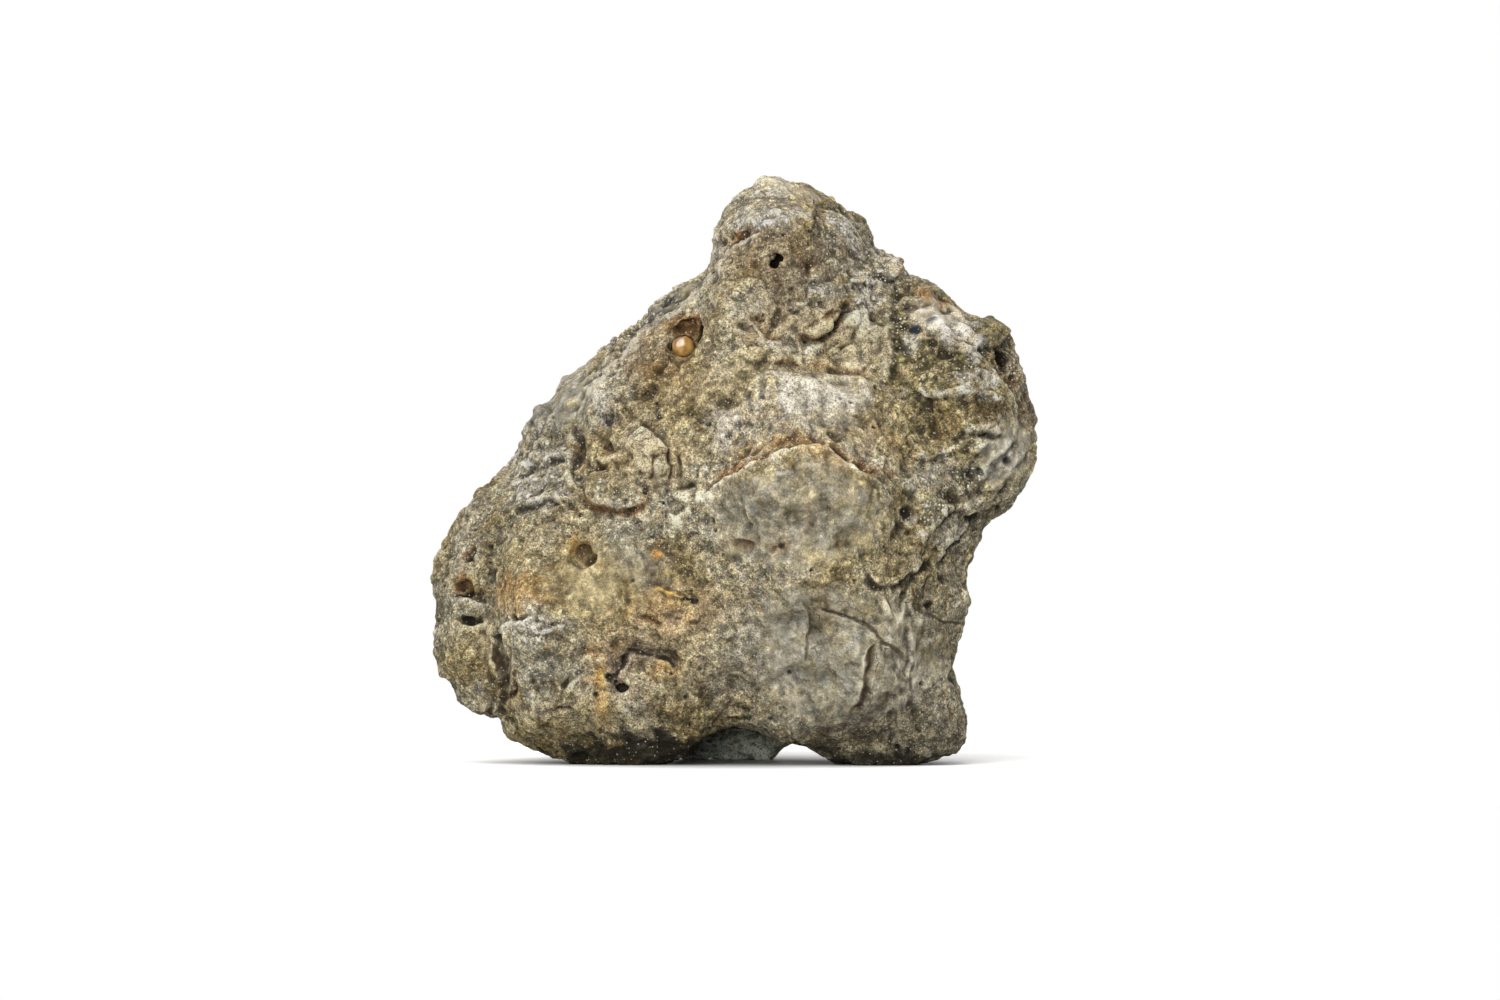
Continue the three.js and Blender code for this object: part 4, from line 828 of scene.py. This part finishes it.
def shift_rim(places):
    """The places, with small shifts of the outline, the feet and the grain's seat."""
    moved = places.copy()
    for _, (x, z), reach, (dx, dz) in RIM:
        share = 1 - ramp(np.hypot(places[:, 0] - x, places[:, 2] - z), 0.2 * reach, reach)
        moved[:, 0] += dx * share
        moved[:, 2] += dz * share
    for _, x, reach, lift in FOOT_EDGES:
        share = (1 - ramp(abs(places[:, 0] - x), 0.2 * reach, reach)) * (1 - ramp(places[:, 2], 0.2, 1.6))
        share *= 1 - ramp(places[:, 1], 0.2, 1.5)
        moved[:, 2] += lift * share
    seat = 1 - ramp(oval_distance(places[:, 0], places[:, 2], SEAT_AT, SEAT_RADII, 0), 0.5, 1.2)
    moved[:, 1] += SEAT_DEPTH * seat * ramp(-places[:, 1], -0.5, 0.5)
    rear = ramp(places[:, 1], 0.4, 1.6) * (1 - ramp(places[:, 2], 1.0, 2.6))
    moved[:, 0] -= REAR_FOOT_NARROWED * rear * ramp(places[:, 0], 0.5, 2.0)
    return moved


def ground_height(places, rough):
    """Worn unevenness everywhere, with scarps, crests and grains where the ground is rough."""
    bent = places + wander(places, 0.8, 0.3, (44, 45, 46))
    patchy = ramp(noise(places, 1.6, 48), -0.3, 0.5)
    chips = terraces(layers(bent, 1.5, 2, 61), 2.0, 0.35)
    flakes = terraces(layers(bent, 0.6, 2, 63), 2.0, 0.45)
    height = 0.14 * layers(places, 2.2, 3, 41)
    height += (0.02 + 0.17 * rough) * chips + (0.02 + 0.07 * rough * patchy) * flakes
    height += (0.015 + 0.05 * rough * (1.2 - patchy)) * (ridges(bent, 0.45, 3, 65) - 0.5)
    height += (0.01 + 0.035 * rough) * layers(places, 0.2, 2, 71)

    # grains that stand proud or have dropped out
    nearest, following, mark = cells(bent, 0.3, 82)
    seam = ramp(following - nearest, 0.0, 0.12)
    return height + (0.006 + 0.035 * rough) * (mark - 0.5) * seam


def open_pores(places, rough):
    """1 in the open pores, which are more where the ground is rough, and 0 elsewhere."""
    distance, _, mark = cells(places, 0.36, 91)
    size = 0.03 + 0.07 * (mark * 7 % 1)
    is_open = mark > 0.94 - 0.22 * rough
    return is_open * (1 - ramp(distance / size, 0.5, 1.2))


def carve(obj):
    """Gives the stone its lumps, chips, pores, cracks and pits, and returns the masks to paint by."""
    mesh = obj.data
    places = shift_rim(read_vectors(mesh, "co"))
    for size, reach in ((0.5, 0.09), (0.22, 0.04)):
        places = places + wander(places, size, reach, (21, 22, 23))
    write_places(mesh, places)
    places = read_vectors(mesh, "co")
    normals = read_vectors(mesh, "normal")
    carving = Carving(places, normals)
    rough = ground_roughness(carving)
    pores = open_pores(places, rough)
    carving.place_forms()

    height = ground_height(places, rough) - PORE_DEPTH * pores + carving.height
    places = places + normals * height[:, None]
    places[:, 2] = np.maximum(places[:, 2], 0)
    write_places(mesh, places)

    masks = carving.tints
    # the rear foot seen through the arch: grey, and lightened later through its moss mask as painted light on
    # the shaded foot
    seen_through_arch = carving.rear_foot * ramp(-normals[:, 1], 0.1, 0.6)
    masks["grey"] = np.maximum(masks["grey"], seen_through_arch)
    masks["moss"] = seen_through_arch
    # the open pores are darkened: painted shade in them
    masks["dark"] = np.maximum(masks["dark"], 0.6 * pores)
    masks["rough"] = rough
    masks["hair_offset"] = 0.5 + 0.5 * carving.hair_offset / HAIR_WIDTHS
    masks["hair_dark"] = carving.hair_dark
    masks["hair_pale"] = carving.hair_pale
    masks["front"] = carving.front
    return masks


def neighbour_means(mesh, values, rounds):
    """Each vertex's value averaged over its neighbours, some rounds over."""
    pairs = np.empty(len(mesh.edges) * 2, dtype=np.int64)
    mesh.edges.foreach_get("vertices", pairs)
    first, second = pairs[::2], pairs[1::2]
    count = len(mesh.vertices)
    degree = np.bincount(first, minlength=count) + np.bincount(second, minlength=count)
    for _ in range(rounds):
        columns = []
        for column in values.T:
            total = np.bincount(first, column[second], count) + np.bincount(second, column[first], count)
            columns.append(total / np.maximum(degree, 1))
        values = np.stack(columns, axis=1)
    return values


def cavity(mesh, rounds, reach):
    """How far each place lies below its surroundings: 0.5 is level, 1 is a hollow reach deep."""
    places = read_vectors(mesh, "co")
    means = neighbour_means(mesh, places, rounds)
    depth = ((means - places) * read_vectors(mesh, "normal")).sum(axis=1)
    return np.clip(0.5 + 0.5 * depth / reach, 0, 1)


# Pieces

def triangle_count(mesh):
    return len(mesh.loops) - 2 * len(mesh.polygons)


def thin_back(obj, front):
    """Thins the mesh where the front's fine forms don't reach."""
    group = obj.vertex_groups.new(name="thinned")
    for index in np.nonzero(front < 0.5)[0]:
        group.add([int(index)], 1.0, "REPLACE")
    back = float((front < 0.5).mean())
    ratio = 1 - back * (1 - BACK_SHARE)
    finish_with(obj, "DECIMATE", ratio=ratio, vertex_group="thinned", vertex_group_factor=10)
    obj.vertex_groups.clear()


def make_stone():
    """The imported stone, remeshed finely, carved, and thinned where it is plain."""
    stone = merged_copy("stone", "weathered_stone")
    finish_with(stone, "REMESH", mode="VOXEL", voxel_size=VOXEL, use_smooth_shade=True)
    finish_with(stone, "SMOOTH", factor=0.5, iterations=SMOOTHING_ROUNDS)
    masks = carve(stone)
    front = masks.pop("front")
    masks["fine_cavity"] = cavity(stone.data, 3, 0.03)
    masks["broad_cavity"] = cavity(stone.data, 24, 0.12)
    for name, values in masks.items():
        write_mask(stone.data, name, values)
    thin_back(stone, front)
    finish_with(stone, "DECIMATE", ratio=min(1, TRIANGLES / triangle_count(stone.data)))
    finish_piece(stone)
    return stone


def make_grain():
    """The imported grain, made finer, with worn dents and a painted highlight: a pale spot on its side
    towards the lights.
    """
    grain = merged_copy("sand_grain", "amber_grain")
    finish_with(grain, "SUBSURF", levels=2, render_levels=2)
    places = read_vectors(grain.data, "co") + np.array(GRAIN_SHIFT)
    normals = read_vectors(grain.data, "normal")
    dents = 0.025 * layers(places, 0.35, 2, 11) - 0.012 * ridges(places, 0.3, 2, 12)
    write_places(grain.data, places + normals * dents[:, None])
    # a painted highlight on the side of the grain that faces the lights
    facing = normals @ np.array(HIGHLIGHT_WAY) / np.linalg.norm(HIGHLIGHT_WAY) + 0.15 * noise(places, 0.3, 13)
    write_mask(grain.data, "painted_highlight", 0.5 * ramp(facing, 0.9, 1.0))
    finish_piece(grain)
    return grain


# Materials

def add(tree, kind, inputs=None, **settings):
    """Adds a node. An input is a value, or another node's output."""
    node = tree.nodes.new(kind)
    for name, value in settings.items():
        setattr(node, name, value)
    for name, value in (inputs or {}).items():
        if isinstance(value, bpy.types.NodeSocket):
            tree.links.new(value, node.inputs[name])
        else:
            node.inputs[name].default_value = value
    return node


def calc(tree, operation, *values, clamp=False):
    node = add(tree, "ShaderNodeMath", dict(enumerate(values)), operation=operation, use_clamp=clamp)
    return node.outputs[0]


def times(tree, first, second, clamp=False):
    return calc(tree, "MULTIPLY", first, second, clamp=clamp)


def map_range(tree, value, low, high, at_low=0.0, at_high=1.0):
    """Maps low to high onto at_low to at_high, and keeps within them."""
    inputs = {"Value": value, 1: low, 2: high, 3: at_low, 4: at_high}
    return add(tree, "ShaderNodeMapRange", inputs).outputs[0]


def blend(tree, share, first, second, mode="MIX"):
    """Mixes two colours; share is a value or an output."""
    node = tree.nodes.new("ShaderNodeMix")
    node.data_type = "RGBA"
    node.blend_type = mode
    for socket, value in ((node.inputs[0], share), (node.inputs[6], first), (node.inputs[7], second)):
        if isinstance(value, bpy.types.NodeSocket):
            tree.links.new(value, socket)
        elif isinstance(value, (int, float)):
            socket.default_value = value
        else:
            socket.default_value = (*value, 1)
    return node.outputs[2]


def curve(tree, value, *stops):
    """Maps a value through a ramp of (place, grey) stops."""
    node = add(tree, "ShaderNodeValToRGB", {"Fac": value})
    ramp_stops = node.color_ramp.elements
    while len(ramp_stops) < len(stops):
        ramp_stops.new(0.5)
    for stop, (place, grey) in zip(ramp_stops, stops):
        stop.position = place
        stop.color = (grey, grey, grey, 1) if isinstance(grey, (int, float)) else (*grey, 1)
    return node.outputs["Color"]


def mask(tree, name):
    return add(tree, "ShaderNodeAttribute", attribute_name=name).outputs["Fac"]


def millimetres(tree):
    """Object coordinates in millimetres."""
    place = add(tree, "ShaderNodeTexCoord").outputs["Object"]
    scale = {"Vector": place, "Scale": (1 / MM,) * 3}
    return add(tree, "ShaderNodeMapping", scale).outputs["Vector"]


def texture(tree, place, size, detail, sharpness, twist=0.0):
    """Noise whose lumps are about size millimetres across."""
    inputs = {"Vector": place, "Scale": 1 / size, "Detail": detail, "Roughness": sharpness}
    return add(tree, "ShaderNodeTexNoise", {**inputs, "Distortion": twist}).outputs["Fac"]


def grain_numbers(tree, place, size):
    """Three random numbers, the same all over each mineral grain."""
    grains = add(tree, "ShaderNodeTexVoronoi", {"Vector": place, "Scale": 1 / size})
    return add(tree, "ShaderNodeSeparateColor", {"Color": grains.outputs["Color"]}).outputs


def raise_surface(tree, shader, height):
    """Bumps the surface by a height in millimetres."""
    bump = add(tree, "ShaderNodeBump", {"Strength": 1.0, "Distance": MM, "Height": height})
    tree.links.new(bump.outputs["Normal"], shader.inputs["Normal"])


def new_material(name):
    material = bpy.data.materials.new(name)
    material.use_nodes = True
    return material, material.node_tree, material.node_tree.nodes["Principled BSDF"]


def specks_group():
    """A mask of scattered round dots."""
    group = bpy.data.node_groups.new("specks", "ShaderNodeTree")
    for name, kind in (("Place", "Vector"), ("Size", "Float"), ("Share", "Float")):
        group.interface.new_socket(name, in_out="INPUT", socket_type="NodeSocket" + kind)
    group.interface.new_socket("Dots", in_out="OUTPUT", socket_type="NodeSocketFloat")
    given = group.nodes.new("NodeGroupInput").outputs
    result = group.nodes.new("NodeGroupOutput").inputs
    density = calc(group, "DIVIDE", 1.0, given["Size"])
    dots = add(group, "ShaderNodeTexVoronoi", {"Vector": given["Place"], "Scale": density})
    mark = add(group, "ShaderNodeSeparateColor", {"Color": dots.outputs["Color"]}).outputs[0]
    chosen = calc(group, "LESS_THAN", mark, given["Share"])
    soft = map_range(group, dots.outputs["Distance"], 0.42, 0.18)
    group.links.new(times(group, soft, chosen), result["Dots"])
    return group


def specks(tree, group, place, size, share):
    node = add(tree, "ShaderNodeGroup", node_tree=group)
    node.inputs["Size"].default_value = size
    node.inputs["Share"].default_value = share
    tree.links.new(place, node.inputs["Place"])
    return node.outputs["Dots"]


def matrix_tones(tree, place, patchy):
    """The ground mass, from brown to olive and grey."""
    broad = texture(tree, place, 4.0, 3, 0.6)
    mottle = texture(tree, place, 1.0, 6, 0.7, 0.6)
    browns = curve(tree, mottle, (0.33, (0.14, 0.1, 0.045)), (0.44, (0.265, 0.21, 0.105)),
                   (0.52, (0.385, 0.32, 0.18)), (0.62, (0.53, 0.43, 0.24)))
    greys = curve(tree, mottle, (0.35, (0.18, 0.173, 0.142)), (0.5, (0.33, 0.318, 0.27)),
                  (0.65, (0.49, 0.47, 0.4)))
    is_grey = calc(tree, "MAXIMUM", curve(tree, broad, (0.45, 0.0), (0.58, 0.7)), mask(tree, "grey"))
    return blend(tree, times(tree, is_grey, patchy), browns, greys)


def grain_tones(tree, colour, warped, lively):
    """Mineral grains of three sizes, each with a tone of its own."""
    for size, strength in ((0.2, 0.22), (0.09, 0.6), (0.05, 0.5)):
        number = grain_numbers(tree, warped, size)[0]
        tones = curve(tree, number, (0.0, (0.25, 0.22, 0.18)), (0.2, (0.6, 0.56, 0.5)),
                      (0.4, (0.85, 0.85, 0.85)), (0.6, (1.0, 1.0, 1.0)), (0.72, (1.3, 1.1, 0.85)),
                      (0.8, (0.85, 0.95, 1.05)), (0.9, (1.9, 1.85, 1.65)))
        colour = blend(tree, times(tree, lively, strength), colour, tones, "MULTIPLY")
    return colour


def stain_and_painted_light_tones(tree, colour, broken, patchy):
    """Stains and clasts; the pale tint, in part painted highlights on lit crests and edges and painted light
    on the low centre; and the rear foot's grey-green moss tint, lightened as painted light on the shaded
    foot.
    """
    for name, tone, strength in (
        ("olive", (0.2, 0.16, 0.056), 0.85),
        ("rust", (0.34, 0.165, 0.05), 0.9),
        ("pink", (0.72, 0.66, 0.57), 0.85),
        # pale: pale veins, and painted highlights on lit crests and edges
        ("pale", (0.75, 0.69, 0.57), 0.9),
        ("cream", (0.86, 0.76, 0.52), 1.0),
        ("ochre", (0.62, 0.37, 0.11), 0.95),
    ):
        share = times(tree, times(tree, mask(tree, name), broken), strength, clamp=True)
        colour = blend(tree, share, colour, tone)
    # the moss mask: the rear foot's grey-green, made light as painted light on a foot that sits in shade
    # behind the arch
    return blend(tree, times(tree, mask(tree, "moss"), patchy), colour, (0.72, 0.78, 0.64))


def glassy_grains_and_painted_glints(tree, colour, warped, sparkle):
    """Crisp grains where the stone sparkles: dark and light grains, the brightest of them painted glints."""
    number = grain_numbers(tree, warped, 0.13)[1]
    tones = curve(tree, number, (0.0, 0.3), (0.3, 0.6), (0.55, 1.0), (0.78, 1.2), (0.86, 2.7))
    return blend(tree, times(tree, sparkle, 0.8), colour, tones, "MULTIPLY")


def worn_and_painted_shade_tones(tree, colour, grit, fine, lively):
    """Grit; hollows darkened as painted shade and crests lightened as painted highlights; then the darkest
    places, dark stone and painted shade in pits, grooves, pores and undersides.
    """
    for share, value, stops in (
        (lively, grit, ((0.32, 0.5), (0.5, 1.0), (0.66, 1.55))),
        (lively, fine, ((0.3, 0.6), (0.5, 1.0), (0.7, 1.4))),
        # the cavity masks paint shade into the hollows and light onto the crests
        (1.0, mask(tree, "fine_cavity"), ((0.1, 1.45), (0.5, 1.0), (0.9, 0.5))),
        (1.0, mask(tree, "broad_cavity"), ((0.1, 1.2), (0.5, 1.0), (0.9, 0.5))),
    ):
        colour = blend(tree, share, colour, curve(tree, value, *stops), "MULTIPLY")
    colour = blend(tree, 1.0, colour, (0.95, 0.93, 0.88), "DARKEN")
    # the dark tint: dark stone in places, and elsewhere painted shade in pits, grooves, pores, turned-away
    # facets and under the feet
    dark = times(tree, mask(tree, "dark"), 0.9, clamp=True)
    colour = blend(tree, dark, colour, (0.01, 0.008, 0.005))
    return blend(tree, times(tree, mask(tree, "blue"), dark), colour, (0.03, 0.04, 0.07))


def hairline_tones(tree, colour, grit):
    """Hairlines, dark along the middle as painted shade in the crack and pale on one side as a painted
    highlight on the lip, and a mask of their dark.
    """
    offset = times(tree, calc(tree, "SUBTRACT", mask(tree, "hair_offset"), 0.5), 2 * HAIR_WIDTHS)
    middle = map_range(tree, calc(tree, "ABSOLUTE", offset), 0.6, 1.6, 1.0, 0.0)
    from_side = calc(tree, "ABSOLUTE", calc(tree, "SUBTRACT", offset, 1.7))
    side = times(tree, map_range(tree, from_side, 0.3, 1.2, 1.0, 0.0), mask(tree, "hair_pale"))
    side = times(tree, side, curve(tree, grit, (0.4, 0.2), (0.52, 1.0)))
    colour = blend(tree, times(tree, side, 0.9, clamp=True), colour, (0.75, 0.67, 0.5))
    crack = times(tree, middle, mask(tree, "hair_dark"))
    return blend(tree, times(tree, crack, 0.85), colour, (0.05, 0.032, 0.015)), crack


def paint_stone(group):
    material, tree, shader = new_material("weathered_breccia")
    place = millimetres(tree)
    second = texture(tree, place, 0.55, 5, 0.65, 0.5)
    grit = texture(tree, place, 0.09, 4, 0.75)
    fine = texture(tree, place, 0.045, 2, 0.6)
    patchy = curve(tree, second, (0.38, 0.45), (0.54, 1.0))
    broken = curve(tree, second, (0.36, 0.45), (0.52, 1.0))
    rough = mask(tree, "rough")
    lively = curve(tree, rough, (0.1, 0.45), (0.36, 1.0))
    sparkle = mask(tree, "sparkle")
    stirred = add(tree, "ShaderNodeTexNoise", {"Vector": place, "Scale": 12.0, "Detail": 2.0})
    warped = blend(tree, 0.05, place, stirred.outputs["Color"], "LINEAR_LIGHT")

    colour = matrix_tones(tree, place, patchy)
    colour = grain_tones(tree, colour, warped, lively)
    colour = stain_and_painted_light_tones(tree, colour, broken, patchy)
    colour = glassy_grains_and_painted_glints(tree, colour, warped, sparkle)
    colour = worn_and_painted_shade_tones(tree, colour, grit, fine, lively)
    colour, crack = hairline_tones(tree, colour, grit)

    # dark mineral specks, and white specks that are painted glints
    black = specks(tree, group, place, 0.085, 0.13)
    colour = blend(tree, times(tree, times(tree, black, lively), 0.8), colour, (0.03, 0.022, 0.012))
    scattered = times(tree, specks(tree, group, place, 0.07, 0.12), lively)
    crowded = times(tree, specks(tree, group, place, 0.11, 0.34), sparkle)
    white = calc(tree, "MAXIMUM", scattered, crowded)
    glint = calc(tree, "ADD", times(tree, sparkle, 0.4), 0.6)
    colour = blend(tree, times(tree, white, glint), colour, (1.0, 0.96, 0.84))
    tree.links.new(colour, shader.inputs["Base Color"])

    # glassy in the sparkling places, dull elsewhere
    dull = calc(tree, "SUBTRACT", 0.66, times(tree, sparkle, 0.34))
    dull = calc(tree, "SUBTRACT", dull, times(tree, white, 0.35))
    dull = calc(tree, "ADD", dull, times(tree, grit, 0.1), clamp=True)
    tree.links.new(dull, shader.inputs["Roughness"])
    shader.inputs["Specular IOR Level"].default_value = 0.25

    # relief finer than the mesh: grit, grains and pinpricks, deeper where the ground is rough
    humps = add(tree, "ShaderNodeTexVoronoi", {"Vector": warped, "Scale": 1 / 0.12}).outputs["Distance"]
    relief = 0.0
    for layer, height in ((grit, 0.10), (fine, 0.03), (second, 0.12), (humps, -0.03), (black, -0.03)):
        relief = calc(tree, "ADD", relief, times(tree, layer, height))
    relief = times(tree, relief, calc(tree, "ADD", times(tree, rough, 0.8), 0.35))
    relief = calc(tree, "SUBTRACT", relief, times(tree, crack, 0.05))
    raise_surface(tree, shader, relief)
    return material


def paint_grain(group):
    material, tree, shader = new_material("amber_quartz")
    place = millimetres(tree)
    cloud = texture(tree, place, 0.5, 3, 0.5)
    colour = curve(tree, cloud, (0.36, (0.6, 0.4, 0.14)), (0.5, (0.43, 0.235, 0.06)),
                   (0.64, (0.22, 0.09, 0.02)))
    # the painted highlight on the grain
    colour = blend(tree, mask(tree, "painted_highlight"), colour, (0.9, 0.8, 0.62))
    flaws = specks(tree, group, place, 0.12, 0.12)
    colour = blend(tree, times(tree, flaws, 0.35), colour, (0.3, 0.14, 0.04))
    tree.links.new(colour, shader.inputs["Base Color"])
    tree.links.new(calc(tree, "ADD", times(tree, cloud, 0.2), 0.03), shader.inputs["Roughness"])
    shader.inputs["Coat Weight"].default_value = 0.6
    shader.inputs["Coat Roughness"].default_value = 0.06
    raise_surface(tree, shader, times(tree, texture(tree, place, 0.14, 3, 0.5), 0.012))
    return material


def paint_floor():
    """White away from the stone, and grey close round it as a painted contact shadow. It is lit brightly to
    the camera, and throws little light up.
    """
    material, tree, shader = new_material("white_floor")
    tree.nodes.remove(shader)
    away = add(tree, "ShaderNodeVectorMath", {0: millimetres(tree)}, operation="LENGTH").outputs["Value"]
    # a painted contact shadow: darker near the middle of the floor
    painted_contact_shadow = map_range(tree, away, 3.0, 8.0, 0.55, 1.35)
    tone = add(tree, "ShaderNodeCombineColor", {0: painted_contact_shadow, 1: painted_contact_shadow, 2: painted_contact_shadow})
    seen = add(tree, "ShaderNodeBsdfDiffuse", {"Color": tone.outputs[0]})
    thrown = add(tree, "ShaderNodeBsdfDiffuse", {"Color": (0.35, 0.35, 0.33, 1)})
    gloss = add(tree, "ShaderNodeBsdfGlossy", {"Color": (1, 1, 1, 1), "Roughness": 0.12})
    sheen = add(tree, "ShaderNodeMixShader", {0: 0.05, 1: seen.outputs[0], 2: gloss.outputs[0]})
    far_white = add(tree, "ShaderNodeEmission", {"Color": (1, 1, 1, 1), "Strength": 1.0})
    faded = map_range(tree, away, WHITE_FROM, WHITE_BY)
    shown = add(tree, "ShaderNodeMixShader", {0: faded, 1: sheen.outputs[0], 2: far_white.outputs[0]})
    is_camera = add(tree, "ShaderNodeLightPath").outputs["Is Camera Ray"]
    floor = add(tree, "ShaderNodeMixShader", {0: is_camera, 1: thrown.outputs[0], 2: shown.outputs[0]})
    tree.links.new(floor.outputs[0], tree.nodes["Material Output"].inputs["Surface"])
    return material


# Scene

def make_floor():
    bpy.ops.mesh.primitive_plane_add(size=FLOOR_WIDTH * MM, location=(0, 0, 0))
    floor = bpy.context.object
    floor.name = "floor"
    floor.data.materials.append(paint_floor())
    return floor


def light_room():
    """White to the camera. The room is brightest above and behind."""
    world = bpy.data.worlds.new("studio")
    bpy.context.scene.world = world
    world.use_nodes = True
    tree = world.node_tree
    tree.nodes.clear()
    way = add(tree, "ShaderNodeSeparateXYZ", {0: add(tree, "ShaderNodeTexCoord").outputs["Generated"]})
    glow = calc(tree, "ADD", times(tree, way.outputs["Z"], 0.3), 0.44)
    behind = times(tree, calc(tree, "MAXIMUM", way.outputs["Y"], 0.0), 0.45)
    glow = calc(tree, "ADD", glow, behind)
    room = add(tree, "ShaderNodeBackground", {"Color": (1, 1, 1, 1), "Strength": glow})
    white = add(tree, "ShaderNodeBackground", {"Color": (1, 1, 1, 1), "Strength": 1.0})
    is_camera = add(tree, "ShaderNodeLightPath").outputs["Is Camera Ray"]
    both = add(tree, "ShaderNodeMixShader", {0: is_camera, 1: room.outputs[0], 2: white.outputs[0]})
    output = add(tree, "ShaderNodeOutputWorld")
    tree.links.new(both.outputs[0], output.inputs["Surface"])


def softbox(name, place, size, power):
    """A square light, placed in millimetres, that faces the stone."""
    light = bpy.data.lights.new(name, "AREA")
    light.size = size * MM
    light.energy = power
    lamp = bpy.data.objects.new(name, light)
    bpy.context.collection.objects.link(lamp)
    lamp.location = [c * MM for c in place]
    aim = lamp.location.copy()
    aim.z -= CAMERA_HEIGHT * MM
    lamp.rotation_euler = aim.to_track_quat("Z", "Y").to_euler()


def make_camera():
    camera = bpy.data.cameras.new("photo_view")
    camera.sensor_fit = "HORIZONTAL"
    camera.angle = 2 * math.atan(VIEW_WIDTH / 2 / CAMERA_DISTANCE)
    camera.clip_start = 0.01
    camera.clip_end = 20
    holder = bpy.data.objects.new("photo_view", camera)
    bpy.context.collection.objects.link(holder)
    holder.location = (CAMERA_X * MM, -CAMERA_DISTANCE * MM, CAMERA_HEIGHT * MM)
    holder.rotation_euler = (math.radians(90), 0, 0)
    bpy.context.scene.camera = holder


make_camera()
light_room()
for box in SOFTBOXES:
    softbox(*box)
make_floor()

specks_tool = specks_group()
stone = make_stone()
paint(stone, paint_stone(specks_tool))
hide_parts("stone")
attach(stone, "root")

grain = make_grain()
paint(grain, paint_grain(specks_tool))
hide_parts("sand_grain")
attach(grain, "root")

bpy.context.scene.view_settings.view_transform = "Standard"
